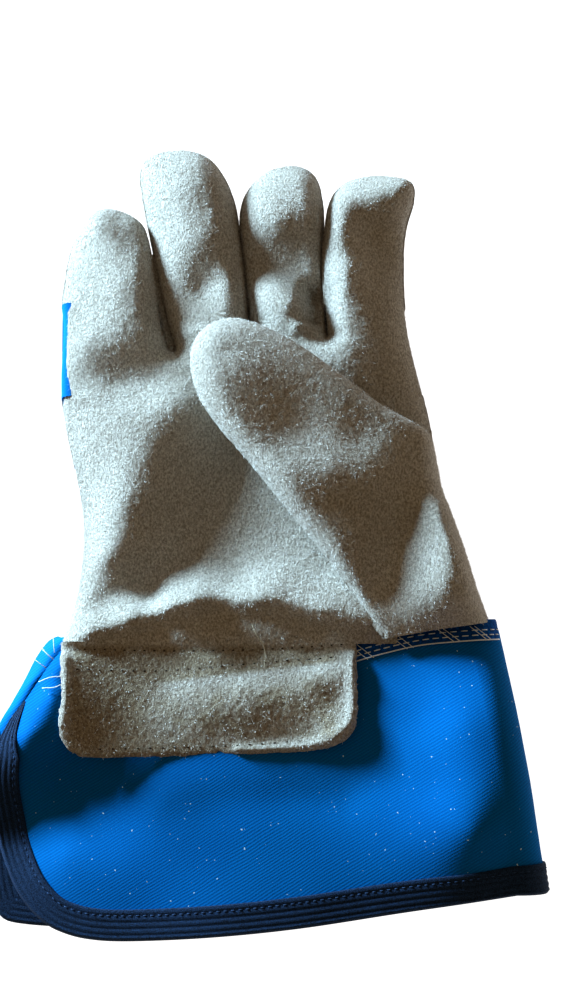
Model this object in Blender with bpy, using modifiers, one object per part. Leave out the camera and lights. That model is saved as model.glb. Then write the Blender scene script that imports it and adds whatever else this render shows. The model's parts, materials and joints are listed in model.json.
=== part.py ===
"""A right-hand rigger-style welding glove, lying on its back with the thumb folded over the palm.

Metres, +Z up. Fingers point along +Y, the cuff along -Y, and the palm faces +Z. Every panel is a sheet
of leather or cloth with its real thickness, and each finger folds at its root and at its middle.
"""

import math
from collections import namedtuple

import bmesh
import bpy
from mathutils import Vector

# --- driving dimensions -------------------------------------------------------------------------
LEATHER = 0.0014
TWILL = 0.0010
LINING = 0.0008
TAPE = 0.0008
THREAD_RADIUS = 0.00035
GAP = 0.0004  # clearance between two sheets that touch on the real glove
PIVOT_RISE = 0.0006  # a fold's axis lies this far above the sheet that folds

# The design sketch's origin, moved so that the model's origin is the bottom centre of its box.
SHIFT = Vector((0.00487, 0.00811, 0.0))

FLOOR = 0.0  # what the knuckle strap and the cuff rest on
SEAM_HEIGHT = 0.0095  # where the palm leather meets the back panel
PALM_TOP = 0.0240
WRIST_Y = -0.0500
STRAP_Y = (0.0120, 0.0380)
LINING_STOP = 0.0320  # the palm lining's right-hand edge
ELASTIC_Y = (-0.0340, -0.0240)
SECTION_POWER = 2.4  # superellipse exponent of a stuffed finger or palm

# Outline of the hand between the wrist and the finger roots: (y, left x, right x).
HAND_OUTLINE = [
    (-0.0495, -0.0735, 0.0730),
    (-0.0240, -0.0690, 0.0640),
    (-0.0030, -0.0680, 0.0565),
    (0.0180, -0.0720, 0.0540),
    (0.0380, -0.0765, 0.0490),
    (0.0584, -0.0765, 0.0440),
]
HAND_END = HAND_OUTLINE[-1][0]

Finger = namedtuple(
    "Finger", "name x y lean length middle root_width mid_width tip_width root_high tip_high seam_tilt back"
)
# x and y place the root fold, lean is degrees to the left, and middle is how far out the middle fold is.
FINGERS = [
    Finger("little", -0.0612, 0.0610, 1, 0.0450, 0.0200, 0.0310, 0.0300, 0.0250, 0.0230, 0.0180, 20, "twill"),
    Finger("ring", -0.0275, 0.0610, 8, 0.0680, 0.0280, 0.0265, 0.0295, 0.0285, 0.0235, 0.0200, 0, "twill"),
    Finger("middle", 0.0014, 0.0610, 0, 0.0618, 0.0270, 0.0245, 0.0277, 0.0268, 0.0235, 0.0190, 0, "twill"),
    Finger("index", 0.0298, 0.0610, -2, 0.0580, 0.0250, 0.0270, 0.0275, 0.0270, 0.0235, 0.0185, 0, "leather"),
]
FINGER_BOTTOM = 0.0010  # a finger's back lies this far above the floor
TIP_DOME = 0.0150

# The thumb lies on the palm: its fold runs from the index side to the wrist side.
THUMB_FOLD = (Vector((0.0505, 0.0230, 0.0408)), Vector((0.0345, -0.0470, 0.0338)))
THUMB_TIP = Vector((-0.0285, 0.0545))
THUMB_UNDER = 0.0252  # underside of the thumb, just clear of the palm
THUMB_TOP = 0.0430
THUMB_TIP_HALF = 0.0190
THUMB_ROOT_HALF = 0.0350

# The cuff: two leaves joined by a fold on the thumb side and open on the little-finger side.
CUFF_TOP = 0.0236
CUFF_BOTTOM = GAP + TAPE  # the binding below it rests on the floor
CUFF_HEM_RIGHT = (0.0885, -0.1290)
CUFF_HEM_LEFT_Y = -0.1435
CUFF_CORNER = (0.0385, 0.0485)  # radii of the rounded front corner
CUFF_LEFT_TOP = -0.0905
CUFF_LEFT_UNDER = -0.0985
BINDING_DEPTH = 0.0100
TAB_BOTTOM = CUFF_TOP + GAP + TAPE + GAP  # the tab lies over the binding's end
TAB_STITCH_INSET = 0.0028
WRIST_PIVOT = Vector((0.0, -0.0500, 0.0275))

COLOURS = {  # base colour, roughness
    "leather": ((0.60, 0.62, 0.60, 1), 0.95),
    "twill": ((0.01, 0.24, 0.68, 1), 0.80),
    "lining": ((0.80, 0.78, 0.72, 1), 0.95),
    "backing": ((0.16, 0.17, 0.19, 1), 0.85),
    "tape": ((0.012, 0.016, 0.045, 1), 0.80),
    "thread": ((0.86, 0.87, 0.88, 1), 0.60),
    "elastic": ((0.82, 0.82, 0.80, 1), 0.80),
}


# --- helpers ------------------------------------------------------------------------------------
def clear_scene():
    for obj in list(bpy.data.objects):
        bpy.data.objects.remove(obj)


def material(name):
    found = bpy.data.materials.get(name)
    if found:
        return found
    made = bpy.data.materials.new(name)
    made.use_nodes = True
    shader = made.node_tree.nodes["Principled BSDF"]
    colour, roughness = COLOURS[name]
    shader.inputs["Base Color"].default_value = colour
    shader.inputs["Roughness"].default_value = roughness
    shader.inputs["Metallic"].default_value = 0.0
    made.diffuse_color = colour
    return made


def between(a, b, t):
    return a + (b - a) * t


def along(table, key, column):
    """Linear reading of a table whose rows start with the key."""
    for low, high in zip(table, table[1:]):
        if key <= high[0]:
            share = max(0.0, (key - low[0]) / (high[0] - low[0]))
            return between(low[column], high[column], share)
    return table[-1][column]


def seam_spaced(share):
    """Shares from 0 to 1 that lie closer together at both ends, so a sheet meets its seams squarely."""
    return (1 - math.cos(math.pi * share)) / 2


def superellipse(angle):
    """Point of a unit superellipse at this angle, which keeps a sewn tube's sides full."""
    c, s = math.cos(angle), math.sin(angle)
    power = 2 / SECTION_POWER
    return math.copysign(abs(c) ** power, c), math.copysign(abs(s) ** power, s)


def link(name, data, node_material, parent):
    obj = bpy.data.objects.new(name, data)
    obj.data.materials.append(material(node_material))
    GLOVE.objects.link(obj)
    obj.parent = parent
    return obj


def grid_mesh(name, rows):
    """An open surface through rows of points. Rows run one way, and (along rows) x (across) points out."""
    mesh = bpy.data.meshes.new(name)
    bm = bmesh.new()
    grid = [[bm.verts.new(p) for p in row] for row in rows]
    for low, high in zip(grid, grid[1:]):
        for j in range(len(low) - 1):
            bm.faces.new((low[j], high[j], high[j + 1], low[j + 1]))
    bmesh.ops.remove_doubles(bm, verts=bm.verts, dist=1e-6)
    bm.to_mesh(mesh)
    bm.free()
    mesh.shade_smooth()
    return mesh


def panel(name, rows, thickness, node_material, parent, inset=0.0):
    """A sheet of leather or cloth: the outer surface is the grid, and the thickness goes inwards.
    inset puts it that far inside the grid, as a lining lies inside its leather."""
    obj = link(name, grid_mesh(name, rows), node_material, parent)
    if inset:
        move = obj.modifiers.new("inset", "DISPLACE")
        move.direction = "NORMAL"
        move.mid_level = 0.0
        move.strength = -inset
    solid = obj.modifiers.new("thickness", "SOLIDIFY")
    solid.thickness = thickness
    solid.offset = -1
    solid.use_even_offset = True
    return obj


def swept(name, rings, node_material, parent):
    """A closed solid through rings of points, capped at both ends."""
    mesh = bpy.data.meshes.new(name)
    bm = bmesh.new()
    loops = [[bm.verts.new(p) for p in ring] for ring in rings]
    count = len(loops[0])
    for low, high in zip(loops, loops[1:]):
        for j in range(count):
            k = (j + 1) % count
            bm.faces.new((low[j], low[k], high[k], high[j]))
    bm.faces.new(list(reversed(loops[0])))
    bm.faces.new(loops[-1])
    bmesh.ops.recalc_face_normals(bm, faces=bm.faces)
    bm.to_mesh(mesh)
    bm.free()
    return link(name, mesh, node_material, parent)


def thread(name, points, parent, cyclic=False):
    """A sewing thread lying on the outside of its seam."""
    curve = bpy.data.curves.new(name, "CURVE")
    curve.dimensions = "3D"
    curve.bevel_depth = THREAD_RADIUS
    curve.bevel_resolution = 1
    curve.use_fill_caps = not cyclic
    spline = curve.splines.new("POLY")
    spline.points.add(len(points) - 1)
    for slot, point in zip(spline.points, points):
        slot.co = (*point, 1)
    spline.use_cyclic_u = cyclic
    return link(name, curve, "thread", parent)


# --- fingers ------------------------------------------------------------------------------------
def finger_frame(finger):
    """Root point on the floor plane, direction outwards, and direction across to the right."""
    lean = math.radians(finger.lean)
    out = Vector((-math.sin(lean), math.cos(lean), 0))
    right = Vector((math.cos(lean), math.sin(lean), 0))
    return Vector((finger.x, finger.y, 0)), out, right


def finger_size(finger, s):
    """Half width and half height at the distance s from the root, down to nothing at the tip."""
    widths = [(0, finger.root_width), (finger.middle, finger.mid_width), (finger.length, finger.tip_width)]
    width = along(widths, s, 1)
    high = between(finger.root_high, finger.tip_high, s / finger.length)
    into_dome = max(0.0, s - (finger.length - TIP_DOME)) / TIP_DOME
    dome = math.sqrt(max(0.0, 1 - into_dome**2))
    return width / 2 * dome, high / 2 * dome, high / 2


def finger_height(finger, s):
    return FINGER_BOTTOM + 2 * finger_size(finger, s)[2]


def finger_rows(finger, start, end, front, across=12):
    """Rows of a finger's front or back half between two distances from the root."""
    root, out, right = finger_frame(finger)
    tilt = math.radians(finger.seam_tilt)
    lift = Vector((0, 0, math.cos(tilt))) - right * math.sin(tilt)
    dome_start = finger.length - TIP_DOME
    stops = [start + (min(end, dome_start) - start) * k / 3 for k in range(4)]
    if end > dome_start:
        stops += [dome_start + TIP_DOME * math.sin(math.radians(a)) for a in (25, 48, 68, 82, 90)]
    first = tilt if front else math.pi + tilt
    rows = []
    for s in stops:
        half_width, half_high, full_high = finger_size(finger, s)
        centre = root + out * s + Vector((0, 0, FINGER_BOTTOM + full_high))
        centre += lift * (GAP / 2 if front else -GAP / 2)
        row = []
        for j in range(across + 1):
            x, z = superellipse(first + math.pi * seam_spaced(j / across))
            row.append(centre + right * (half_width * x) + Vector((0, 0, half_high * z)))
        rows.append(row)
    return rows


def make_finger(finger, root_body, tip_body):
    flex_gap = GAP * 2
    spans = {
        "root": (GAP, finger.middle - flex_gap / 2, root_body),
        "tip": (finger.middle + flex_gap / 2, finger.length, tip_body),
    }
    for part, (start, end, body) in spans.items():
        back = "leather" if part == "tip" else finger.back
        back_thickness = LEATHER if back == "leather" else TWILL
        panel(f"{finger.name}_front_{part}", finger_rows(finger, start, end, True), LEATHER, "leather", body)
        back_name = f"{finger.name}_tip_cap" if part == "tip" else f"{finger.name}_back"
        panel(back_name, finger_rows(finger, start, end, False), back_thickness, back, body)


# --- hand ---------------------------------------------------------------------------------------
def thumb_fold_point(y):
    """Point of the thumb's fold line at this y, held at its ends."""
    a, b = THUMB_FOLD
    return between(a, b, min(1.0, max(0.0, (a.y - y) / (a.y - b.y))))


def palm_rows(lining=False):
    """The palm from the right to the left: it starts at the thumb's fold, or at the seam beyond the thumb.
    The lining stops short of both."""
    rows = []
    across = 16
    fold_end = THUMB_FOLD[0].y
    beside = [between(WRIST_Y + 0.0005, fold_end - 0.0010, k / 7) for k in range(8)]
    beyond = [between(fold_end + 0.0040, HAND_END, k / 3) for k in range(4)]
    for y in beside + beyond:
        left, right = along(HAND_OUTLINE, y, 1), along(HAND_OUTLINE, y, 2)
        middle, high = (left + right) / 2, PALM_TOP - SEAM_HEIGHT
        row = []
        for j in range(across + 1):
            c, s = superellipse(math.pi * seam_spaced(j / across))
            if c > 0 and (lining or y < fold_end):
                stop = LINING_STOP if lining else thumb_fold_point(y).x + 0.0012
                x, s = between(middle, stop, c), 1.0
                if y > fold_end:
                    s = (1 - ((x - middle) / (right - middle)) ** SECTION_POWER) ** (1 / SECTION_POWER)
            else:
                x = between(middle, right if c > 0 else left, abs(c))
            row.append(Vector((x, y, SEAM_HEIGHT + GAP / 2 + high * s)))
        rows.append(row)
    return rows


def thenar_rows():
    """The thumb's base: leather from the right-hand seam up to the thumb's fold."""
    rows = []
    across, stations = 7, 7
    low_y, high_y = WRIST_Y + 0.0005, THUMB_FOLD[0].y - 0.0012
    for k in range(stations + 1):
        y = between(low_y, high_y, k / stations)
        right = along(HAND_OUTLINE, y, 2)
        fold = thumb_fold_point(y)
        row = []
        for j in range(across + 1):
            c, s = superellipse(math.pi / 2 * (1 - math.cos(math.pi / 2 * j / across)))
            x = between(fold.x + 0.0010, right, c)
            z = between(SEAM_HEIGHT + GAP / 2, fold.z - PIVOT_RISE, s)
            row.append(Vector((x, y, z)))
        rows.append(row)
    return rows


def back_rows(low_y, high_y, bottom):
    """Rows of the back of the hand, flat underneath and turned up to the seam at both sides."""
    rows = []
    stations, side_steps = 6, 5
    rise = SEAM_HEIGHT - GAP
    turn = rise - FLOOR
    for k in range(stations + 1):
        y = between(low_y, high_y, k / stations)
        left, right = along(HAND_OUTLINE, y, 1) + turn, along(HAND_OUTLINE, y, 2) - turn
        angles = [math.pi / 2 * (1 - math.cos(math.pi / 2 * j / side_steps)) for j in range(side_steps + 1)]
        profile = [(left - (turn - bottom) * math.cos(a), rise - (turn - bottom) * math.sin(a)) for a in angles]
        profile += [(right + (turn - bottom) * math.cos(a), rise - (turn - bottom) * math.sin(a))
                    for a in reversed(angles)]
        rows.append([Vector((x, y, z)) for x, z in profile])
    return rows


def make_hand(body):
    panel("palm_leather", palm_rows(), LEATHER, "leather", body)
    panel("palm_lining", palm_rows(lining=True), LINING, "lining", body, LEATHER + GAP)
    panel("thumb_base", thenar_rows(), LEATHER, "leather", body)
    panel("back_panel", back_rows(WRIST_Y + 0.0005, HAND_END, LEATHER + GAP), TWILL, "twill", body)
    panel("knuckle_strap", back_rows(*STRAP_Y, FLOOR), LEATHER, "leather", body)
    elastic_z = LEATHER + GAP + TWILL + GAP
    rows = [[Vector((x, y, elastic_z)) for x in (-0.0420, -0.0140, 0.0140, 0.0420)] for y in ELASTIC_Y]
    panel("back_elastic", rows, LINING, "elastic", body)


# --- thumb --------------------------------------------------------------------------------------
def thumb_rows(outer):
    """Half of the thumb as a loft from the tip to the fold line, top half or underside."""
    a, b = (Vector((p.x, p.y)) for p in THUMB_FOLD)
    fold_mid, fold_dir = (a + b) / 2, (a - b).normalized()
    clear = Vector((-fold_dir.y, fold_dir.x)) * (0.0010 if outer else 0.0016)
    base = fold_mid + clear
    tip_dir = Vector((0.668, 0.744))
    rows, across = [], 12
    shares = [0.0, 0.012, 0.045, 0.10, 0.18, 0.30, 0.44, 0.60, 0.76, 0.90, 1.0]
    for t in reversed(shares):
        centre = between(THUMB_TIP, base, t)
        across_dir = between(tip_dir, fold_dir, t).normalized()
        dome = math.sqrt(1 - (1 - min(1.0, t / 0.18)) ** 2)
        half = between(THUMB_TIP_HALF, THUMB_ROOT_HALF, t**1.2) * dome
        row = []
        for j in range(across + 1):
            c, s = superellipse(math.pi * seam_spaced(j / across))
            flat = centre + across_dir * (half * c)
            fold_z = thumb_fold_point(flat.y).z - PIVOT_RISE
            top = between(THUMB_TOP, min(THUMB_TOP, fold_z), t**2)
            seam = (THUMB_UNDER + top) / 2
            if outer:
                z = seam + GAP + (top - seam) * s * dome
            else:
                z = seam - GAP - (seam - THUMB_UNDER) * s * dome
            row.append(Vector((flat.x, flat.y, z)))
        rows.append(row if outer else row[::-1])
    return rows


def make_thumb(body):
    panel("thumb_outer", thumb_rows(True), LEATHER, "leather", body)
    panel("thumb_inner", thumb_rows(False), LEATHER, "leather", body)


# --- cuff ---------------------------------------------------------------------------------------
def cuff_right(y):
    """x of the cuff's thumb-side fold at this y."""
    share = (y - WRIST_Y) / (CUFF_HEM_RIGHT[1] - WRIST_Y)
    return between(0.0735, CUFF_HEM_RIGHT[0], share)


def cuff_radius(inset):
    return (CUFF_TOP - CUFF_BOTTOM) / 2 - inset


def cuff_point(side, x, y, inset=0.0, turn=None):
    """Point and outward normal on the cuff: side 1 is the palm leaf, -1 the back leaf, and turn, in
    radians from the mid-height, is used on the rounded fold."""
    radius = cuff_radius(inset)
    centre = Vector((cuff_right(y) - cuff_radius(0.0), y, (CUFF_TOP + CUFF_BOTTOM) / 2))
    if turn is None:
        normal = Vector((0, 0, side))
        return Vector((x, y, centre.z + side * radius)), normal
    normal = Vector((math.cos(turn), 0, math.sin(turn)))
    return centre + normal * radius, normal


def cuff_border():
    """The cuff's hem from the palm leaf's rounded corner, round the fold, to the back leaf's corner.
    Each stop pairs a hem place with the wrist place above it."""
    radius = cuff_radius(0.0)
    corner_x, corner_y = CUFF_CORNER
    hem_right = CUFF_HEM_RIGHT[1]
    wrist_left, wrist_right = -0.0740, cuff_right(WRIST_Y) - radius
    end = CUFF_HEM_RIGHT[0] - radius
    stops = []

    def leaf(side, left):
        made = []
        corner_steps, hem_steps = 7, 7
        centre = Vector((left + corner_x, CUFF_HEM_LEFT_Y + corner_y))
        for k in range(corner_steps):
            angle = math.pi / 2 * k / corner_steps
            made.append((centre.x - corner_x * math.cos(angle), centre.y - corner_y * math.sin(angle)))
        for k in range(hem_steps + 1):
            share = k / hem_steps
            made.append((between(centre.x, end, share), between(CUFF_HEM_LEFT_Y, hem_right, share**1.6)))
        return [(side, x, y, None, between(wrist_left, wrist_right, n / (len(made) - 1)))
                for n, (x, y) in enumerate(made)]

    stops += leaf(1, CUFF_LEFT_TOP)
    fold_steps = 8
    for k in range(1, fold_steps):
        turn = math.pi / 2 - math.pi * k / fold_steps
        stops.append((0, None, hem_right, turn, None))
    stops += reversed(leaf(-1, CUFF_LEFT_UNDER))
    return stops


def cuff_row(stop, inset=0.0):
    """Points from the hem to the wrist at one stop along the border."""
    side, x, y, turn, wrist_x = stop
    row = []
    for k in range(5):
        share = k / 4
        here_y = between(y, WRIST_Y - 0.0005, share)
        here_x = None if x is None else between(x, wrist_x, share)
        row.append(cuff_point(side, here_x, here_y, inset, turn)[0])
    return row


def binding_path():
    """Rings' places along the cuff's free edge: down the palm leaf, along the hem and up the back leaf.
    Each is a point, the outward normal there, and the direction off the cloth's edge."""
    stops = cuff_border()
    shares = (0.90, 0.68, 0.45, 0.22)
    sides = []
    for side, x, y, _, wrist_x in (stops[0], stops[-1]):
        sides.append([cuff_point(side, between(x, wrist_x, s), between(y, WRIST_Y - 0.0005, s)) for s in shares])
    hem = [cuff_point(side, x, y, 0.0, turn) for side, x, y, turn, _ in stops]
    path = sides[0] + hem + sides[1][::-1]
    places = []
    for k, (point, normal) in enumerate(path):
        stop = stops[k - len(shares)] if 0 <= k - len(shares) < len(stops) else None
        if stop and stop[3] is not None:
            row = cuff_row(stop)
            off_edge = (row[0] - row[1]).normalized()
        else:
            near = [p for p, n in path[max(k - 1, 0):k + 2] if abs(n.z - normal.z) < 0.01]
            off_edge = (near[-1] - near[0]).normalized().cross(normal).normalized()
        places.append((point, normal, off_edge))
    return places


def binding_rings():
    """A U-shaped tape folded over both cuff layers, as rings along the edge."""
    layers = TWILL + GAP + LINING
    out, deep = GAP + TAPE, -BINDING_DEPTH
    profile = [  # (off the edge, along the cuff's normal)
        (deep, out), (out, out), (out, -layers - out), (deep, -layers - out),
        (deep, -layers - GAP), (GAP, -layers - GAP), (GAP, GAP), (deep, GAP),
    ]
    return [[point + off * e + normal * n for e, n in profile] for point, normal, off in binding_path()]


def tab_outline():
    """The palm tab: straight at the wrist, with two rounded lower corners."""
    left, right, low_left, low_right = -0.0715, 0.0250, -0.0862, -0.0842
    round_left, round_right = 0.0100, 0.0120
    points = [Vector((left, WRIST_Y - 0.0010)), Vector((right, WRIST_Y - 0.0010))]
    for k in range(7):
        angle = -math.pi / 2 * k / 6
        points.append(Vector((right - round_right + round_right * math.cos(angle),
                              low_right + round_right + round_right * math.sin(angle))))
    for k in range(7):
        angle = -math.pi / 2 - math.pi / 2 * k / 6
        points.append(Vector((left + round_left + round_left * math.cos(angle),
                              low_left + round_left + round_left * math.sin(angle))))
    return points


def make_tab(body):
    thickness = LEATHER
    curve = bpy.data.curves.new("palm_tab", "CURVE")
    curve.dimensions = "2D"
    curve.fill_mode = "BOTH"
    curve.extrude = thickness / 2
    spline = curve.splines.new("POLY")
    outline = tab_outline()
    spline.points.add(len(outline) - 1)
    for slot, point in zip(spline.points, outline):
        slot.co = (point.x, point.y, 0, 1)
    spline.use_cyclic_u = True
    tab = link("palm_tab", curve, "leather", body)
    tab.location.z = TAB_BOTTOM + thickness / 2
    return tab


def make_cuff(body):
    rows = [cuff_row(stop) for stop in cuff_border()]
    panel("cuff_outer", rows, TWILL, "twill", body)
    inner = [cuff_row(stop, TWILL + GAP) for stop in cuff_border()]
    panel("cuff_lining", inner, LINING, "backing", body)
    swept("cuff_binding", binding_rings(), "tape", body)
    make_tab(body)
    above_binding = GAP + TAPE + GAP + THREAD_RADIUS
    stitches = [
        point + normal * above_binding - off * BINDING_DEPTH * 0.55
        for point, normal, off in binding_path() if normal.z > 0.1 and point.y < -0.0800
    ]
    thread("binding_thread", stitches, body)
    seam_z = CUFF_TOP + GAP + THREAD_RADIUS
    thread("wrist_thread", [Vector((x, WRIST_Y - 0.0048, seam_z)) for x in (0.0275, 0.0450, 0.0600)], body)
    tab_z = TAB_BOTTOM + LEATHER + GAP + THREAD_RADIUS
    low = [p for p in tab_outline() if p.y < -0.0700]
    centre = Vector((-0.0230, -0.0680))
    line = [p + (centre - p).normalized() * TAB_STITCH_INSET for p in low]
    thread("tab_thread", [Vector((p.x, p.y, tab_z)) for p in line], body)


# --- assembly -----------------------------------------------------------------------------------
def pivot(name, place, parent=None):
    """An empty on a joint's axis, which carries one moving body."""
    empty = bpy.data.objects.new(name, None)
    GLOVE.objects.link(empty)
    empty.location = place
    if parent:
        empty.parent = parent
        empty.location = place - parent.matrix_world.translation
    bpy.context.view_layer.update()
    return empty


def place_on(body, made):
    """Meshes are drawn in the sketch's frame, so each is moved back by its pivot's place."""
    offset = body.matrix_world.translation
    for obj in made:
        obj.location += SHIFT - offset


def build_body(body, maker, *args):
    before = set(GLOVE.objects)
    maker(*args)
    place_on(body, [o for o in GLOVE.objects if o not in before])


def joint_places():
    """Every joint's point in the model's frame and its axis, as the record states them."""
    places = {}
    for finger in FINGERS:
        root, out, right = finger_frame(finger)
        for fold, s in (("root", 0.0), ("middle", finger.middle)):
            high = max(finger_height(finger, s), PALM_TOP if fold == "root" else 0.0) + PIVOT_RISE
            places[f"{finger.name}_{fold}"] = (root + out * s + Vector((0, 0, high)) + SHIFT, right)
    a, b = THUMB_FOLD
    places["thumb"] = ((a + b) / 2 + SHIFT, (a - b).normalized())
    places["wrist"] = (WRIST_PIVOT + SHIFT, Vector((-1, 0, 0)))
    return places


def build():
    places = joint_places()
    hand = pivot("hand_frame", SHIFT)
    build_body(hand, make_hand, hand)
    thumb = pivot("thumb_frame", places["thumb"][0], hand)
    build_body(thumb, make_thumb, thumb)
    cuff = pivot("cuff_frame", places["wrist"][0], hand)
    build_body(cuff, make_cuff, cuff)
    for finger in FINGERS:
        root = pivot(f"{finger.name}_root_frame", places[f"{finger.name}_root"][0], hand)
        tip = pivot(f"{finger.name}_tip_frame", places[f"{finger.name}_middle"][0], root)
        before = set(GLOVE.objects)
        make_finger(finger, root, tip)
        for obj in set(GLOVE.objects) - before:
            obj.location += SHIFT - obj.parent.matrix_world.translation


clear_scene()
GLOVE = bpy.data.collections.new("welding_glove")
bpy.context.scene.collection.children.link(GLOVE)
build()
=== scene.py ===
"""Looks of the right-hand welding glove: split-leather skins, twill cuff, tape, stitches, light and camera.

Shapes are drawn in millimetres on the flat design sketch of the glove, whose origin lies a little way from
the model's. Skins are sheets whose rim rolls down to a seam, with ridges and hollows pressed into them.
"""

import json
import math

import bpy
import numpy as np
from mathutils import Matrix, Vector, geometry, kdtree
from mathutils.bvhtree import BVHTree


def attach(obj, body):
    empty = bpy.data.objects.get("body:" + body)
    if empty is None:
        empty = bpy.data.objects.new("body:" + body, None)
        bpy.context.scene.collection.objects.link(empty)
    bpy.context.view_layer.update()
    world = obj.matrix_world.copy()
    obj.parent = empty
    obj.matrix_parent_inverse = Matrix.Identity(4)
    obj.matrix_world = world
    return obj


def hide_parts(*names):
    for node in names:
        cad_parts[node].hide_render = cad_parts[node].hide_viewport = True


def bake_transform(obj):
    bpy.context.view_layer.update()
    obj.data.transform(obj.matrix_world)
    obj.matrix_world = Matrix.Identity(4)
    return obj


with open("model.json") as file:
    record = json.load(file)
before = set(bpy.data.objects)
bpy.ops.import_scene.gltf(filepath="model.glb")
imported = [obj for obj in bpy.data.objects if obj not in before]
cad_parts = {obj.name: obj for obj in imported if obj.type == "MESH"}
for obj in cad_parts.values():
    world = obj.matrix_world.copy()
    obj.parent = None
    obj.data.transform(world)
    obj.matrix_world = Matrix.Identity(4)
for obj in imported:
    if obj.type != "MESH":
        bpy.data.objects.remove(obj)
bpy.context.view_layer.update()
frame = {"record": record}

MM = 0.001
JOINTS = {j["name"]: j for j in frame["record"]["behaviour"]["joints"]}
WRIST = np.array(JOINTS["wrist_fold"]["pos_m"]) / MM
SHIFT = np.array([WRIST[0], WRIST[1] + 50.0, 0.0])  # the sketch draws the wrist's fold at x = 0, y = -50
LEATHER = 1.4  # thicknesses
CLOTH = 0.9
BACKING_GAP = 0.15
BACKING_THICKNESS = 0.8
GRID = 1.6  # spacing of a skin's points before it is subdivided
FUZZ = 1.6  # fibres on each mm2 of leather

ROOT_SPLIT = 57.5  # the palm's skin ends here, just past the finger roots' notches
FOLD_LENGTH = (-1.0, 8.0)  # distances from a finger's root to the ends of the strip across its root fold
TIP_SPLIT = 9.0
HALF_FOLD = 4.5
FINGERS = {  # root x, lean in degrees, distance of the middle fold
    "little": (-61.2, 1, 20.0),
    "ring": (-27.5, 8, 28.0),
    "middle": (1.4, 0, 27.0),
    "index": (29.8, -2, 25.0),
}
ROOT_Y = 61.0
SLITS = (  # (y, x) down the middle of the gap between two fingers
    ((50, -37.8), (62, -41.2), (73, -43.4), (84, -45.2), (94, -47.1), (103, -49.0), (140, -53.0)),
    ((50, -11.2), (62, -11.1), (73, -11.8), (87, -13.6), (99, -15.0), (111, -16.0), (140, -16.0)),
    ((50, 16.2), (62, 16.1), (73, 15.2), (86, 14.6), (96, 15.0), (106, 16.0), (140, 17.0)),
)

# Outlines: x, y, height of the rim, and how far in from the rim the sheet has finished rolling over.
PALM_LEFT = [
    (-74.6, -49.8, 12, 8), (-70.5, -35.3, 9.5, 13), (-68.6, -20.5, 9.5, 14), (-68.6, -6.5, 9.5, 16),
    (-71.1, 7.6, 9.5, 19), (-74.6, 22.5, 9.5, 20), (-76.6, 33.0, 11, 17),
]
LITTLE = [
    (-75.4, 38.0, 15, 12), (-74.9, 52.0, 17, 9), (-75.0, 66.0, 17, 9), (-77.6, 71.6, 12, 11), (-77.1, 80.6, 11, 12),
    (-75.6, 90.1, 11, 14), (-72.9, 98.8, 10, 14), (-68.8, 105.3, 10, 13), (-62.7, 107.6, 10, 13),
    (-55.8, 105.7, 10, 12), (-50.6, 101.1, 12, 8), (-47.7, 93.9, 14, 6), (-45.9, 84.4, 14, 6), (-44.4, 73.1, 14, 6),
    (-42.5, 62.7, 13, 7), (-40.0, 55.4, 11, 9), (-38.4, 53.2, 11, 9),
]
RING = [
    (-37.2, 54.6, 11, 9), (-39.6, 62.0, 11, 12), (-42.3, 73.1, 11, 14), (-44.4, 83.6, 11, 15), (-46.4, 93.9, 11, 15),
    (-48.2, 102.6, 11, 14), (-50.1, 113.0, 11, 14), (-51.0, 121.9, 10, 13), (-47.6, 127.9, 10, 13),
    (-37.7, 130.4, 10, 13), (-27.8, 128.1, 10, 12), (-21.7, 121.1, 10, 10), (-17.5, 111.1, 11, 9),
    (-15.1, 98.8, 11, 9), (-13.7, 87.4, 11, 8), (-12.2, 73.1, 11, 8), (-11.5, 62.0, 11, 8), (-11.4, 58.0, 11, 8),
    (-11.25, 56.4, 11, 8),
]
MIDDLE = [
    (-11.05, 58.0, 11, 8), (-11.0, 62.0, 11, 11), (-11.7, 73.1, 11, 12), (-13.3, 87.4, 11, 12), (-14.6, 99.6, 11, 12),
    (-13.9, 109.1, 11, 12), (-11.2, 115.7, 10, 12), (-5.5, 121.5, 10, 12), (2.2, 124.2, 10, 12), (8.7, 123.2, 10, 11),
    (12.9, 118.8, 10, 10), (14.8, 109.9, 11, 8), (15.2, 100.3, 12, 7), (14.8, 95.0, 12, 7), (14.6, 84.4, 12, 6.5),
    (15.1, 73.1, 12, 6.5), (16.0, 62.7, 11, 8), (16.1, 59.6, 11, 8), (16.3, 58.4, 11, 8),
]
INDEX = [
    (16.5, 59.8, 12, 7), (16.4, 62.7, 14, 6), (15.5, 73.1, 15, 6), (15.0, 86.3, 15, 6.5), (15.8, 96.5, 15, 6.5),
    (17.2, 106.5, 14, 7), (20.0, 113.8, 11, 10), (25.1, 118.4, 10, 11), (33.1, 120.3, 10, 11), (41.1, 118.8, 12, 9),
    (46.8, 115.6, 15, 6), (47.6, 109.5, 14, 6), (45.2, 101.1, 11, 8), (43.9, 92.0, 11, 9), (43.7, 76.9, 11, 9),
    (44.5, 63.8, 11, 9), (46.8, 50.9, 11, 9), (50.4, 36.3, 10, 10), (52.6, 25.5, 9.5, 10),
]
UNDER_THUMB = [(52.5, 21.5, 0, 0), (49.0, 4.0, 0, 0), (44.5, -16.0, 0, 0), (40.0, -38.0, 0, 0),
               (38.5, -49.8, 0, 0)]  # rim height 0: an open edge, which doesn't roll
INDEX_SIDE = [
    (53.8, 14.7, 9.5, 12), (55.7, 4.1, 9.5, 12), (58.6, -4.8, 9.5, 12), (61.5, -13.5, 9.5, 12), (64.0, -22.2, 9.5, 12),
    (66.9, -31.5, 9.5, 12), (70.7, -41.8, 9.5, 12), (73.2, -49.4, 9.5, 12),
]

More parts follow.
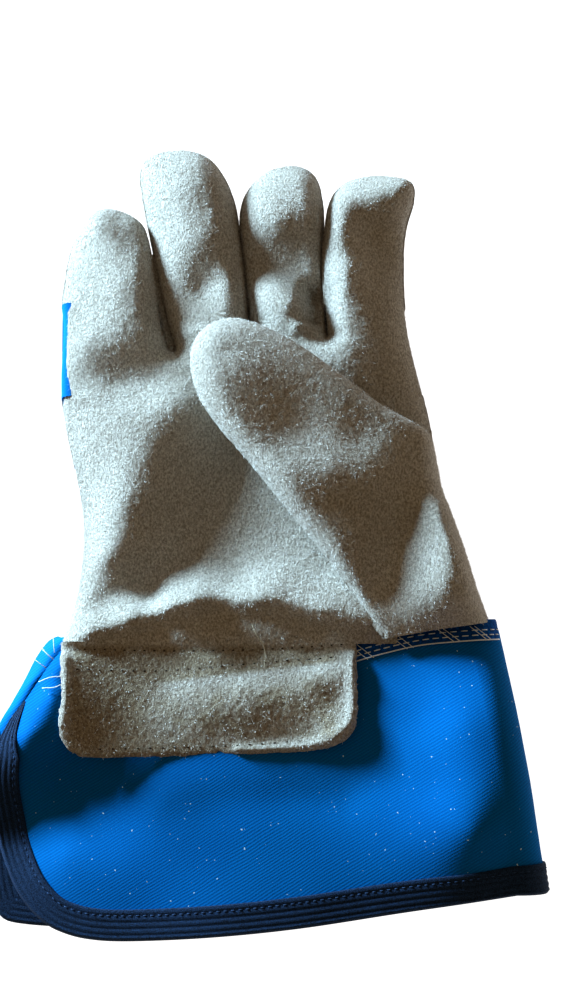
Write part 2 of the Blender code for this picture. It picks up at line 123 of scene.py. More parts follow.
THUMB_EDGE = [
    (33.8, -48.6, 24.0, 3), (23.6, -33.2, 24.5, 5), (13.0, -18.9, 26, 6), (1.4, -4.9, 27.5, 6.5), (-10.2, 9.6, 28, 7),
    (-21.0, 22.3, 28.5, 7.5), (-27.8, 32.6, 29, 9), (-30.6, 42.0, 29, 10), (-30.3, 49.9, 29, 10),
    (-26.6, 56.2, 29, 10), (-19.0, 60.0, 29, 10), (-10.5, 59.0, 29, 10), (-1.0, 55.1, 29, 10), (9.8, 48.4, 29, 9.5),
    (21.6, 39.3, 29, 8), (34.9, 29.6, 28, 6), (46.5, 23.4, 26.5, 4.5),
]
THUMB_SIDE = [
    (52.0, 20.5, 16, 5), (54.0, 14.7, 10.5, 7), (55.9, 4.1, 9.5, 8), (58.8, -4.8, 9.5, 8), (61.7, -13.5, 9.5, 8),
    (64.2, -22.2, 9.5, 8), (67.1, -31.5, 9.5, 8), (71.4, -42.6, 9.5, 8),
]
THUMB_WRIST = [(71.4, -42.7, 0, 0), (58.0, -44.6, 0, 0), (46.0, -46.4, 0, 0), (34.2, -48.5, 0, 0)]

# Heights of the upper surface: x, y, height. A thin plate bends through all of them.
HAND_POSTS = [
    (-68, 52, 22), (-56, 53, 23.5), (-45, 53, 22.5), (-68, 43, 19.5), (-56, 42, 20), (-45, 42, 20.5), (-65, 29, 20.5),
    (-52, 29, 23), (-37, 30, 24.5), (-60, 12, 20), (-46, 13, 24), (-64, -3, 18.5), (-54, -3, 22.5), (-66, -18, 17),
    (-60, -20, 21), (-66, -33, 18.5), (-33, 12, 20.0), (-36, -4, 18.0), (-44, -18, 17.5), (-54, -26, 17.8),
    (-60, -36, 16.8), (-44, -34, 16.0), (-32, -24, 15.6), (-23, -14, 15.2), (-20, -1, 15.8), (-21, 16, 17.2),
    (-14, 34, 19.5), (-8, -10, 16.4), (-2, -2, 17.4), (-16, -26, 17.4), (0, -20, 19.2), (15, -26, 21.4),
    (-64, -46, 21.2), (-50, -42, 22.4), (-38, -38.5, 23.4), (-28, -35.5, 24.2), (-7, -35, 25.2), (14, -39, 25.6),
    (28, -42, 25), (-62, -49.5, 20.0), (-50, -46, 20.6), (-38, -43, 20.8), (-26, -40.5, 21.6), (-7, -40.5, 22.4),
    (14, -44.5, 22.6), (30, -47, 22.4), (-72, -51, 19.5), (-45, -51, 18.4), (-20, -50, 18.6), (5, -50, 19.2),
    (30, -51, 20.4), (42, -48, 21), (20, -10, 21), (36, -20, 21), (42, 5, 20), (5, 20, 21), (25, 15, 21),
    (46, 26, 17.5), (30, 34, 21), (10, 45, 23), (22, 50, 23.5), (34, 46, 21), (44, 40, 18), (-68, 66, 20),
    (-56, 64, 24), (-50, 62, 24), (-68, 78, 19), (-57, 75, 23.6), (-50, 78, 23), (-66, 91, 19.5), (-58, 89, 20.6),
    (-51, 92, 18.4), (-65, 99, 20.4), (-57, 100, 18.0), (-36, 58, 20.5), (-27, 60, 21), (-17, 60, 21), (-37, 74, 20.5),
    (-28, 75, 18), (-18, 76, 21), (-38, 92, 21), (-27, 90, 22.5), (-41, 112, 20.5), (-31, 112, 22.5), (-25, 106, 22),
    (-36, 124, 18.5), (-7, 63, 20), (-4, 73, 22.4), (4, 68, 24), (11, 60, 21), (-8, 87, 15.8), (1, 82, 15.8),
    (11, 78, 17), (-9, 100, 22), (0, 97, 23.2), (9, 93, 21), (-8, 112, 20), (4, 112, 21), (2, 121, 16.5), (22, 62, 23),
    (34, 62, 21), (41, 62, 18.5), (22, 78, 24.6), (32, 78, 20), (40, 78, 17.5), (22, 96, 24.4), (32, 96, 18.2),
    (41, 95, 17), (23, 107, 22), (34, 108, 22.5), (44, 108, 22), (32, 116, 18.5),
]
HAND_STROKES = [  # path, height, half width
    ([(-57, -49.4), (-48, -46.0), (-30, -41.6), (-7, -41), (13, -45.6)], -1.2, 3.6),
    ([(-72, -49), (-50, -41.5), (-30, -35.6), (-7, -35.4), (17, -40.5), (30, -43)], 0.9, 3.2),
    ([(12.5, 73), (12.5, 65)], -11.0, 4.5),
    ([(6, 60), (10, 59.5), (14, 62), (15, 67)], 2.0, 2.0),
    ([(-38, 62), (-33, 58.5), (-27, 58)], 1.6, 2.2),
]
THUMB_POSTS = [
    (-15, 40, 39.4), (-22, 46, 38.8), (-10, 48, 38.4), (3, 36, 37.2), (19, 28, 35.8), (39, 20.5, 33.3),
    (-18.5, 26.5, 38.6), (-7, 26.5, 37.6), (6, 20, 35.4), (26, 18, 34.2), (46, 13, 30.4), (-3, 9, 37.3), (3, 7, 37.8),
    (16, 5.8, 37.6), (29, 5, 35.9), (40, 5.5, 32.2), (19.4, -4, 35), (32.6, -7, 31.6), (22.7, -17, 33.6),
    (30.9, -23.6, 30.2), (8, -8, 36), (49, 2.5, 29.3), (41, -10, 28.6), (34.5, -23.6, 28.4), (31.3, -34, 28),
    (19.4, -24, 33.4), (25.3, -37, 30.2), (31, -46, 26.5), (52.3, -7, 34), (56, -17, 36.2), (53, -28.6, 36.8),
    (57.5, -37, 34), (43.5, -37, 30.6), (45, -26, 31.6), (36, -50, 25), (49, -47, 26), (66, -44, 24.5), (63, -30, 33),
    (60, -12, 31),
]


# --- numbers and curves -------------------------------------------------------------------------
def unit(vectors):
    return vectors / np.maximum(np.linalg.norm(vectors, axis=-1), 1e-12)[..., None]


def nearest(places, sought):
    """Index and distance of the place nearest to each sought point, all in the plane."""
    tree = kdtree.KDTree(len(places))
    for k, p in enumerate(places):
        tree.insert((p[0], p[1], 0), k)
    tree.balance()
    found = [tree.find((x, y, 0)) for x, y in sought]
    return np.array([f[1] for f in found]), np.array([f[2] for f in found])


def smooth_path(points, step, closed=False):
    """Even points along a smooth curve through the given ones, with any further columns carried along."""
    given = np.array(points, float)
    count = len(given)
    dense = []
    for k in range(count if closed else count - 1):
        near = [k + m for m in (-1, 0, 1, 2)]
        p = [given[i % count if closed else min(max(i, 0), count - 1)] for i in near]
        for t in np.arange(0, 1, 0.05):
            dense.append(0.5 * (2 * p[1] + (p[2] - p[0]) * t + (2 * p[0] - 5 * p[1] + 4 * p[2] - p[3]) * t * t
                                + (3 * p[1] - p[0] - 3 * p[2] + p[3]) * t**3))
    dense.append(given[0] if closed else given[-1])
    dense = np.array(dense)
    lengths = np.r_[0, np.cumsum(np.linalg.norm(np.diff(dense[:, :2], axis=0), axis=1))]
    places = np.linspace(0, lengths[-1], max(3, int(round(lengths[-1] / step)) + 1))
    even = np.stack([np.interp(places, lengths, dense[:, c]) for c in range(dense.shape[1])], 1)
    return even[:-1] if closed else even


def noise(points, cell, seed=0):
    """Smooth noise from -1 to 1 on a lattice of this size."""
    q = points / cell + seed * 17.31
    whole = np.floor(q).astype(np.int64)
    part = q - whole
    part = part * part * (3 - 2 * part)
    total = np.zeros(len(points))
    for corner in range(8):
        bits = np.array([corner & 1, corner >> 1 & 1, corner >> 2 & 1])
        i = whole + bits
        h = (i[:, 0] * 73856093) ^ (i[:, 1] * 19349663) ^ (i[:, 2] * 83492791) ^ (seed * 2654435761)
        h &= 0xFFFFFFFF
        h = ((h ^ (h >> 13)) * 0x5BD1E995) & 0xFFFFFFFF
        h = ((h ^ (h >> 15)) * 0x27D4EB2F) & 0xFFFFFFFF
        weight = np.prod(np.where(bits, part, 1 - part), axis=1)
        total += weight * ((h & 0xFFFF) / 32767.5 - 1)
    return total


def path_distance(xy, path):
    """Distance of each point from a polyline."""
    best = np.full(len(xy), 1e9)
    path = np.array(path, float)
    for a, b in zip(path, path[1:]):
        d = b - a
        t = np.clip(((xy - a) @ d) / (d @ d), 0, 1)
        best = np.minimum(best, np.linalg.norm(xy - a - t[:, None] * d, axis=1))
    return best


def plate(xy, posts):
    """Height of a thin plate bent through the posts."""
    posts = np.array(posts, float)

    def kernel(a, b):
        r = ((a[:, None, :] - b[None, :, :]) ** 2).sum(2)
        return 0.5 * r * np.log(np.maximum(r, 1e-9))

    at_posts, heights = posts[:, :2], posts[:, 2]
    count = len(posts)
    flat = np.c_[np.ones(count), at_posts]
    system = np.block([[kernel(at_posts, at_posts) + np.eye(count) * 3.0, flat], [flat.T, np.zeros((3, 3))]])
    weights = np.linalg.solve(system, np.r_[heights, 0, 0, 0])
    return kernel(xy, at_posts) @ weights[:count] + np.c_[np.ones(len(xy)), xy] @ weights[count:]


def sculpted(xy, posts, strokes):
    """Height of a plate over its posts, with ridges and hollows pressed along the strokes."""
    height = plate(xy, posts)
    for path, amount, width in strokes:
        path = smooth_path(path, 1.0)
        height = height + amount * np.exp(-((path_distance(xy, path) / width) ** 2))
    return height


def inside(xy, loop):
    """Which points lie within a closed outline."""
    hit = np.zeros(len(xy), bool)
    for a, b in zip(loop, np.roll(loop, -1, 0)):
        crosses = (a[1] > xy[:, 1]) != (b[1] > xy[:, 1])
        with np.errstate(divide="ignore", invalid="ignore"):
            at = (b[0] - a[0]) * (xy[:, 1] - a[1]) / (b[1] - a[1]) + a[0]
        hit ^= crosses & (xy[:, 0] < at)
    return hit


# --- meshes -------------------------------------------------------------------------------------
def to_mesh(name, points, faces):
    """A mesh in metres in the model's frame, from points in millimetres on the sketch."""
    mesh = bpy.data.meshes.new(name)
    mesh.from_pydata(((points + SHIFT) * MM).tolist(), [], faces.tolist() if hasattr(faces, "tolist") else faces)
    return mesh


def new_object(name, mesh, material, normals=None):
    """normals: one for each corner of each face."""
    obj = bpy.data.objects.new(name, mesh)
    bpy.context.scene.collection.objects.link(obj)
    obj.data.materials.clear()
    obj.data.materials.append(material)
    mesh.shade_smooth()
    if normals is not None:
        mesh.normals_split_custom_set(normals.tolist())
    keep_rest(obj)
    return obj


def keep_rest(obj):
    """Stores each point's rest place, in millimetres, for the materials to pattern by."""
    count = len(obj.data.vertices)
    co = np.empty(count * 3, np.float32)
    obj.data.vertices.foreach_get("co", co)
    attribute = obj.data.attributes.get("rest") or obj.data.attributes.new("rest", "FLOAT_VECTOR", "POINT")
    attribute.data.foreach_set("vector", co / MM)


def subdivided(points, faces):
    """The same sheet with each face cut in smooth quads."""
    mesh = bpy.data.meshes.new("work")
    mesh.from_pydata(points.tolist(), [], faces.tolist())
    obj = bpy.data.objects.new("work", mesh)
    bpy.context.scene.collection.objects.link(obj)
    sub = obj.modifiers.new("sub", "SUBSURF")
    sub.levels = sub.render_levels = 1
    sub.boundary_smooth = "ALL"
    evaluated = obj.evaluated_get(bpy.context.evaluated_depsgraph_get())
    made = bpy.data.meshes.new_from_object(evaluated)
    co = np.empty(len(made.vertices) * 3)
    made.vertices.foreach_get("co", co)
    quads = np.empty(len(made.loops), np.int64)
    made.loops.foreach_get("vertex_index", quads)
    bpy.data.objects.remove(obj)
    bpy.data.meshes.remove(made)
    return co.reshape(-1, 3), quads.reshape(-1, 4)


def normals_of(points, faces):
    a, b, c = (points[faces[:, k]] for k in range(3))
    flat = np.cross(b - a, c - a)
    if faces.shape[1] == 4:
        flat = flat + np.cross(c - a, points[faces[:, 3]] - a)
    total = np.zeros_like(points)
    for k in range(faces.shape[1]):
        np.add.at(total, faces[:, k], flat)
    return unit(total)


def rim_edges(faces):
    """Directed edges that only one face uses, in the order that face runs."""
    ends = np.concatenate([np.stack([faces[:, k], np.roll(faces, -1, 1)[:, k]], 1) for k in range(faces.shape[1])])
    _, index, count = np.unique(np.sort(ends, 1), axis=0, return_inverse=True, return_counts=True)
    return ends[count[index.reshape(-1)] == 1]


def thickened(points, normals, faces, thickness):
    """A closed sheet: the outer faces, an inner copy, and a rim. Also a normal for each corner of each face."""
    used, index = np.unique(faces, return_inverse=True)
    faces = index.reshape(faces.shape)
    normals = normals[used]
    outer, inner = points[used], points[used] - normals * thickness
    count = len(used)
    rim = rim_edges(faces)
    walls = np.stack([rim[:, 1], rim[:, 0], rim[:, 0] + count, rim[:, 1] + count], 1)
    back = faces[:, ::-1] + count
    solid = np.concatenate([outer, inner])
    a, b, c = (solid[walls[:, k]] for k in range(3))
    flat = unit(np.cross(b - a, c - a))
    corners = np.concatenate([normals[faces.reshape(-1)], -normals[faces[:, ::-1].reshape(-1)],
                              np.repeat(flat, 4, 0)])
    return solid, faces.tolist() + back.tolist() + walls.tolist(), corners


def flat_sheet(loop, spacing):
    """Triangles that fill an outline, with even points inside it."""
    low, high = loop[:, :2].min(0), loop[:, :2].max(0)
    xs = np.arange(low[0], high[0], spacing)
    ys = np.arange(low[1], high[1], spacing * 0.87)
    grid = np.array([(x + (spacing / 2 if j % 2 else 0), y) for j, y in enumerate(ys) for x in xs])
    grid = grid[inside(grid, loop[:, :2])]
    grid = grid[nearest(loop, grid)[1] > spacing * 0.55]
    points = np.concatenate([loop[:, :2], grid])
    count = len(loop)
    edges = [(k, (k + 1) % count) for k in range(count)]
    verts, _, faces, *_ = geometry.delaunay_2d_cdt([Vector(p) for p in points], edges, [], 1, 1e-6)
    verts = np.array([(v.x, v.y) for v in verts])
    return verts, np.array([f for f in faces if len(f) == 3])


def turned(xy, faces, up):
    """Triangles that all face up, or all down."""
    a, b, c = (xy[faces[:, k]] for k in range(3))
    side = (b[:, 0] - a[:, 0]) * (c[:, 1] - a[:, 1]) - (b[:, 1] - a[:, 1]) * (c[:, 0] - a[:, 0])
    flip = (side > 0) != up
    faces[flip] = faces[flip][:, ::-1]
    return faces


def rolled_sheet(loop, height, spacing, up=True):
    """A sheet over an outline: its rim rolls over to the height that each rim point states."""
    xy, faces = flat_sheet(loop, spacing)
    rims = loop[loop[:, 3] > 0.5]
    dense = []
    for a, b in zip(rims, np.roll(rims, -1, 0)):
        if np.linalg.norm(b[:2] - a[:2]) < 3:
            dense += [a + (b - a) * t for t in (0, 0.25, 0.5, 0.75)]
        else:
            dense.append(a)
    dense = np.array(dense)
    index, gap = nearest(dense, xy)
    rim_z, reach = dense[index, 2], dense[index, 3]
    away = (xy - dense[index, :2]) / np.maximum(gap, 1e-6)[:, None]
    turn = np.clip(gap / reach, 0, 1) * math.pi / 2
    moved = np.where(gap[:, None] < reach[:, None],
                     dense[index, :2] + away * (reach * (1 - np.cos(turn)))[:, None], xy)
    level = height(moved)
    z = rim_z + (level - rim_z) * np.sin(turn)
    return np.c_[moved, z], turned(moved, faces, up)


def skin(loop, height, spacing, up=True, nap=1.0):
    """A leather skin over an outline: its points, normals and faces."""
    points, faces = subdivided(*rolled_sheet(loop, height, spacing, up))
    points, normals = napped(points, faces, nap)
    return points, normals, faces


def napped(points, faces, amount=1.0):
    """The coarse raised nap of split leather, in the surface itself."""
    normals = normals_of(points, faces)
    lift = 0.05 * noise(points, 2.3, 3) + 0.11 * noise(points, 1.1, 5) + 0.04 * noise(points, 5.5, 9)
    points = points + normals * (lift * amount)[:, None]
    return points, normals_of(points, faces)


LONGEST_FIBRE = 1.25


def fuzz(points, normals, faces, density, seed):
    """Fibres that stand out of the nap, each a closed three-sided spike with its root below the surface."""
    rng = np.random.default_rng(seed)
    corners = points[faces]
    area = np.linalg.norm(np.cross(corners[:, 1] - corners[:, 0], corners[:, 2] - corners[:, 0]), axis=1)
    count = int(area.sum() * density)
    pick = rng.choice(len(faces), count, p=area / area.sum())
    share = rng.dirichlet([1, 1, 1], count)
    root = (corners[pick, :3] * share[:, :, None]).sum(1)
    up = normals[faces[pick, 0]]
    lean = rng.normal(size=(count, 3))
    lean -= up * (lean * up).sum(1)[:, None]
    lean = unit(lean)
    across = np.cross(up, lean)
    length = LONGEST_FIBRE * (0.40 + 0.60 * rng.random(count) ** 2)[:, None]
    tip = root + (up * 0.55 + lean * 0.85) * length
    width = (0.075 + 0.065 * rng.random(count))[:, None]
    low = root - up * 0.2
    spikes = np.stack([low + lean * width, low - lean * width * 0.5 + across * width * 0.87,
                       low - lean * width * 0.5 - across * width * 0.87, tip], 1)
    first = np.arange(count)[:, None] * 4
    sides = np.concatenate([first + [0, 1, 3], first + [1, 2, 3], first + [2, 0, 3], first + [0, 2, 1]])
    return spikes.reshape(-1, 3), sides


# --- materials ----------------------------------------------------------------------------------
class Nodes:
    """Short names for building a material's node tree."""

    def __init__(self, name):
        self.material = bpy.data.materials.new(name)
        self.material.use_nodes = True
        self.tree = self.material.node_tree
        self.shader = self.tree.nodes["Principled BSDF"]

    def add(self, kind, inputs=None, **settings):
        node = self.tree.nodes.new(kind)
        for key, value in settings.items():
            setattr(node, key, value)
        for key, value in (inputs or {}).items():
            self.put(node, key, value)
        return node

    def put(self, node, key, value):
        if hasattr(value, "is_linked") or hasattr(value, "links"):
            self.tree.links.new(value, node.inputs[key])
        else:
            node.inputs[key].default_value = value

    def rest(self):
        return self.add("ShaderNodeAttribute", attribute_name="rest").outputs["Vector"]

    def noise(self, vector, scale, detail=2.0, roughness=0.5):
        return self.add("ShaderNodeTexNoise", {"Vector": vector, "Scale": scale, "Detail": detail,
                                               "Roughness": roughness}).outputs["Fac"]

    def ramp(self, value, stops):
        node = self.add("ShaderNodeValToRGB", {"Fac": value})
        ramp = node.color_ramp
        while len(ramp.elements) < len(stops):
            ramp.elements.new(0.5)
        for element, (place, colour) in zip(ramp.elements, stops):
            element.position = place
            element.color = (*colour, 1)
        return node.outputs["Color"]

    def mix(self, kind, factor, a, b):
        node = self.add("ShaderNodeMix", data_type="RGBA", blend_type=kind)
        self.put(node, 0, factor)
        self.put(node, 6, a if hasattr(a, "links") else (*a, 1))
        self.put(node, 7, b if hasattr(b, "links") else (*b, 1))
        return node.outputs[2]

    def math(self, operation, a, b=0.0):
        return self.add("ShaderNodeMath", {0: a, 1: b}, operation=operation).outputs[0]

    def plus(self, a, b):
        return self.math("ADD", a, b)

    def times(self, a, b):
        return self.math("MULTIPLY", a, b)

    def tint(self, a, b):
        return self.mix("MULTIPLY", 1.0, a, b)

    def axes(self, vector):
        return self.add("ShaderNodeSeparateXYZ", {"Vector": vector}).outputs

    def fade(self, value, start, end):
        return self.add("ShaderNodeMapRange", {"Value": value, "From Min": start, "From Max": end}).outputs["Result"]

    def bump(self, height, distance, strength=1.0):
        inputs = {"Height": height, "Distance": distance, "Strength": strength}
        return self.add("ShaderNodeBump", inputs).outputs["Normal"]

    def finish(self, colour, roughness, normal=None, **sockets):
        """sockets: the shader's other inputs, with _ for each space."""
        self.put(self.shader, "Base Color", colour)
        self.put(self.shader, "Roughness", roughness)
        if normal is not None:
            self.put(self.shader, "Normal", normal)
        for key, value in sockets.items():
            self.put(self.shader, key.replace("_", " "), value)
        return self.material


def suede_material(name, paint_tab_shade=False):
    """Split leather. The second argument paints shade into the tab's colour: its flats go dark, apart from its right
    and lower lips.
    """
    n = Nodes(name)
    rest = n.rest()
    x, y, z = n.axes(rest)
    long = n.add("ShaderNodeMapping", {"Vector": rest, "Scale": (1.25, 0.8, 1.25)}).outputs["Vector"]
    fibre = n.noise(long, 1.25, 3.0, 0.75)
    fine = n.noise(long, 3.0, 2.0, 0.6)
    broad = n.noise(rest, 0.045, 3.0, 0.55)
    tone = n.ramp(broad, [(0.3, (0.58, 0.53, 0.46)), (0.7, (0.67, 0.62, 0.55))])
    specks = n.ramp(fibre, [(0.36, (0.60, 0.56, 0.50)), (0.50, (1.0, 0.99, 0.97)), (0.62, (1.42, 1.46, 1.48))])
    low = n.ramp(n.times(z, 0.04), [(0.34, (0.55, 0.53, 0.50)), (0.60, (1.0, 1.0, 1.0))])  # painted shade: darker under 15 mm, toning down the low sides
    colour = n.tint(n.tint(tone, specks), low)
    # Painted shade: the tab's flats, which lie low or in the shadow of the palm's crest, are darkened.
    if paint_tab_shade:
        left, top = SHIFT[:2]  # where the sketch's origin lies
        flat = n.times(n.fade(y, top - 49.5, top - 51.5), n.fade(x, left + 21, left + 17))
        flat = n.times(flat, n.fade(x, left - 71.5, left - 68))
        lip = n.times(n.fade(y, top - 79, top - 82), n.fade(x, left - 24, left + 2))
        flat = n.times(flat, n.math("SUBTRACT", 1.0, lip))
        # Noise patches that break up the painted shade below the tab's low ridge.
        raised = n.ramp(n.noise(rest, 0.14, 2.0), [(0.40, (1, 1, 1)), (0.62, (0.45, 0.45, 0.45))])
        slope = 0.119
        ridge = n.math("SUBTRACT", y, n.times(x, slope))  # distance from the tab's low ridge
        line = top - slope * left - 57.7
        # upper: painted shade above the ridge line and over the tab's left part; lower: painted shade in patches below
        # it.
        upper = n.math("MAXIMUM", n.fade(ridge, line - 0.8, line + 0.6), n.fade(x, left - 35, left - 47))
        lower = n.times(raised, n.fade(ridge, line - 1.5, line - 8))
        tab_shade_colour = n.tint(colour, (0.66, 0.59, 0.48))
        colour = n.mix("MIX", n.times(flat, n.math("MAXIMUM", upper, lower)), colour, tab_shade_colour)
    height = n.plus(n.times(fibre, 0.9), n.times(fine, 0.4))
    return n.finish(colour, 1.0, n.bump(height, 2.1 * MM), Sheen_Weight=0.25, Sheen_Roughness=0.6,
                    Specular_IOR_Level=0.1)


TWILL_ANGLE = math.radians(31)
TWILL_PITCH = 0.92


def twill_material(name):
    """Diagonal drill weave: ridges that rise to the right, each a row of short floats."""
    n = Nodes(name)
    rest = n.rest()
    x, y, _ = n.axes(rest)
    cos, sin = math.cos(TWILL_ANGLE), math.sin(TWILL_ANGLE)
    bend = n.noise(rest, 0.06, 2.0)
    across = n.plus(n.math("SUBTRACT", n.times(y, cos), n.times(x, sin)), n.times(bend, 1.4))
    along = n.plus(n.times(x, cos), n.times(y, sin))
    ridge = n.math("SINE", n.times(across, 2 * math.pi / TWILL_PITCH))
    beat = n.math("SINE", n.plus(n.times(along, 2 * math.pi / 0.8), n.times(across, 2.6)))
    height = n.plus(ridge, n.times(beat, 0.22))
    grain = n.noise(rest, 2.2, 3.0)
    level = n.plus(n.times(height, 0.24), n.times(grain, 0.5))
    colour = n.ramp(level, [(0.0, (0.0, 0.115, 0.37)), (0.28, (0.0, 0.145, 0.43)), (0.56, (0.0, 0.175, 0.50))])
    worn = n.ramp(n.noise(rest, 0.03, 2.0), [(0.3, (0.86, 0.90, 0.93)), (0.7, (1.06, 1.06, 1.04))])
    colour = n.tint(colour, worn)
    lint = n.ramp(n.noise(rest, 0.85, 1.0), [(0.765, (0, 0, 0)), (0.785, (1, 1, 1))])
    colour = n.mix("MIX", n.times(lint, 0.8), colour, (0.62, 0.76, 0.85))
    normal = n.bump(n.plus(height, n.times(grain, 3.4)), 0.015 * MM)
    return n.finish(colour, 0.9, normal, Specular_IOR_Level=0.08)


def plain_cloth(name, low, high, scale, bump=0.08, roughness=0.9):
    """A plain grain between two colours."""
    n = Nodes(name)
    grain = n.noise(n.rest(), scale, 3.0, 0.6)
    colour = n.ramp(grain, [(0.35, low), (0.65, high)])
    return n.finish(colour, roughness, n.bump(grain, bump * MM * 4, 0.8), Specular_IOR_Level=0.2)


SUEDE = suede_material("suede")
# The tab's suede, with shade painted into its colour.
SHADED_TAB_SUEDE = suede_material("suede_tab_painted_shade", True)
FIBRE = plain_cloth("suede_fibre", (0.80, 0.78, 0.74), (0.95, 0.94, 0.92), 1.0)
TWILL = twill_material("twill")
TAPE = plain_cloth("navy_tape", (0.002, 0.006, 0.018), (0.018, 0.052, 0.125), 2.8, 0.10, 0.8)
LINING = plain_cloth("cotton_lining", (0.62, 0.60, 0.54), (0.80, 0.78, 0.72), 1.6)
BACKING = plain_cloth("rubber_backing", (0.10, 0.11, 0.12), (0.18, 0.19, 0.21), 1.2)
THREAD = plain_cloth("white_thread", (0.72, 0.76, 0.80), (0.92, 0.94, 0.96), 3.0, 0.03, 0.7)
# The seam strip's twill blue, darkened: painted shade below the leather's edge.
SHADED_STRIP = plain_cloth("seam_strip_shaded", (0.0, 0.05, 0.22), (0.0, 0.12, 0.46), 1.1)
# Painted shade: the dark inside of the tab's needle holes.
HOLE_SHADE = plain_cloth("needle_hole_shade", (0.035, 0.028, 0.020), (0.07, 0.058, 0.042), 2.0)
TAPE_THREAD = plain_cloth("navy_thread", (0.02, 0.04, 0.09), (0.06, 0.11, 0.22), 3.0)
HAIR = plain_cloth("loose_fibre", (0.62, 0.56, 0.42), (0.74, 0.68, 0.54), 2.0)
ELASTIC = plain_cloth("elastic", (0.70, 0.70, 0.68), (0.88, 0.88, 0.86), 1.5)


# --- placing pieces -----------------------------------------------------------------------------
def at(x, y, z=0.0):
    """A place on the sketch, in metres in the model's frame."""
    return tuple((np.array([x, y, z]) + SHIFT) * MM)


def finger_axis(name):
    """Its root, the way it points, and how far out its middle fold is."""
    x, lean, middle = FINGERS[name]
    lean = math.radians(lean)
    return np.array([x, ROOT_Y]), np.array([-math.sin(lean), math.cos(lean)]), middle


def finger_of(centres):
    """0 to 3 for each point: which finger's strip it is in."""
    found = np.zeros(len(centres), int)
    for line in SLITS:
        line = np.array(line, float)
        found += centres[:, 0] > np.interp(centres[:, 1], line[:, 0], line[:, 1])
    return found


def finish_piece(obj, motion, slot, replaces=()):
    """motion is a body's name, or (body, body, start, end) for a piece that crosses a fold."""
    if isinstance(motion, tuple):
        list(motion)
        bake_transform(obj)
    else:
        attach(obj, motion)
    if replaces:
        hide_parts(*replaces)


def add_piece(name, points, normals, faces, material, slot, replaces, motion, thickness=LEATHER, fibres=0.0):
    """A sheet with its outer side at the points; fibres is how many stand on a mm2."""
    solid, polygons, corners = thickened(points, normals, faces, thickness)
    skin_faces = len(polygons)
    if fibres:
        spikes, sides = fuzz(points, normals, faces, fibres, seed=len(points) % 97)
        corner = spikes[sides]
        flat = unit(np.cross(corner[:, 1] - corner[:, 0], corner[:, 2] - corner[:, 0]))
        polygons += (sides + len(solid)).tolist()
        solid = np.concatenate([solid, spikes])
        corners = np.concatenate([corners, np.repeat(flat, 3, 0)])
    obj = new_object(name, to_mesh(name, solid, polygons), material, corners)
    if fibres:
        obj.data.materials.append(FIBRE)
        which = np.zeros(len(polygons), np.int32)
        which[skin_faces:] = 1
        obj.data.polygons.foreach_set("material_index", which)
    finish_piece(obj, motion, slot, replaces)


def root_turn(finger):
    root, out, _ = finger_axis(finger)
    a, b = (root + out * s for s in FOLD_LENGTH)
    return "hand", f"{finger}_root", at(*a), at(*b)


def tip_turn(finger):
    root, out, middle = finger_axis(finger)
    a, b = root + out * (middle - HALF_FOLD), root + out * (middle + HALF_FOLD)
    return f"{finger}_root", f"{finger}_tip", at(*a), at(*b)


def wrist_turn(before=4.0, after=9.0):
    y = WRIST[1] * MM
    return "hand", "cuff", (0, y + before * MM, 0), (0, y - after * MM, 0)


TAB_TURN = wrist_turn(3.0, 5.0)


def split_hand(points, faces):
    """Cuts a whole-hand skin into the palm's or back's piece and two pieces for each finger."""
    centres = points[faces].mean(1)[:, :2]
    beyond = centres[:, 1] > ROOT_SPLIT
    strip = finger_of(centres)
    yield "hand", faces[~beyond], None
    for k, finger in enumerate(FINGERS):
        root, out, _ = finger_axis(finger)
        s = (centres - root) @ out
        mine = beyond & (strip == k)
        yield "root", faces[mine & (s < TIP_SPLIT)], finger
        yield "tip", faces[mine & (s >= TIP_SPLIT)], finger


# --- the hand's skins ---------------------------------------------------------------------------
def hand_height(xy):
    return sculpted(xy, HAND_POSTS, HAND_STROKES)


def outline(parts, closers):
    """One closed outline with even points: parts join smoothly, and closers with a corner."""
    loop = smooth_path([p for part in parts for p in part], 1.0)
    pieces = [loop]
    for closer in closers:
        pieces.append(smooth_path([tuple(pieces[-1][-1][:2]) + (0, 0)] + closer, 1.0)[1:])
    end, start = pieces[-1][-1], loop[0]
    count = int(np.linalg.norm(end[:2] - start[:2]))
    line = np.array([end[:2] + (start[:2] - end[:2]) * t for t in np.arange(1, count) / count])
    pieces.append(np.concatenate([line, np.zeros((len(line), 2))], 1))
    return np.concatenate(pieces)


def make_front():
    loop = outline([PALM_LEFT, LITTLE, RING, MIDDLE, INDEX], [UNDER_THUMB])
    points, normals, faces = skin(loop, hand_height, GRID)
    for part, mine, finger in split_hand(points, faces):
        if part == "hand":
            name, node, motion = "palm_skin", "palm_leather", "hand"
        elif part == "root":
            name, node, motion = f"{finger}_front_skin", f"{finger}_front_root", root_turn(finger)
        else:
            name, node, motion = f"{finger}_front_tip_skin", f"{finger}_front_tip", tip_turn(finger)
        add_piece(name, points, normals, mine, SUEDE, "leather", [node], motion, fibres=FUZZ)


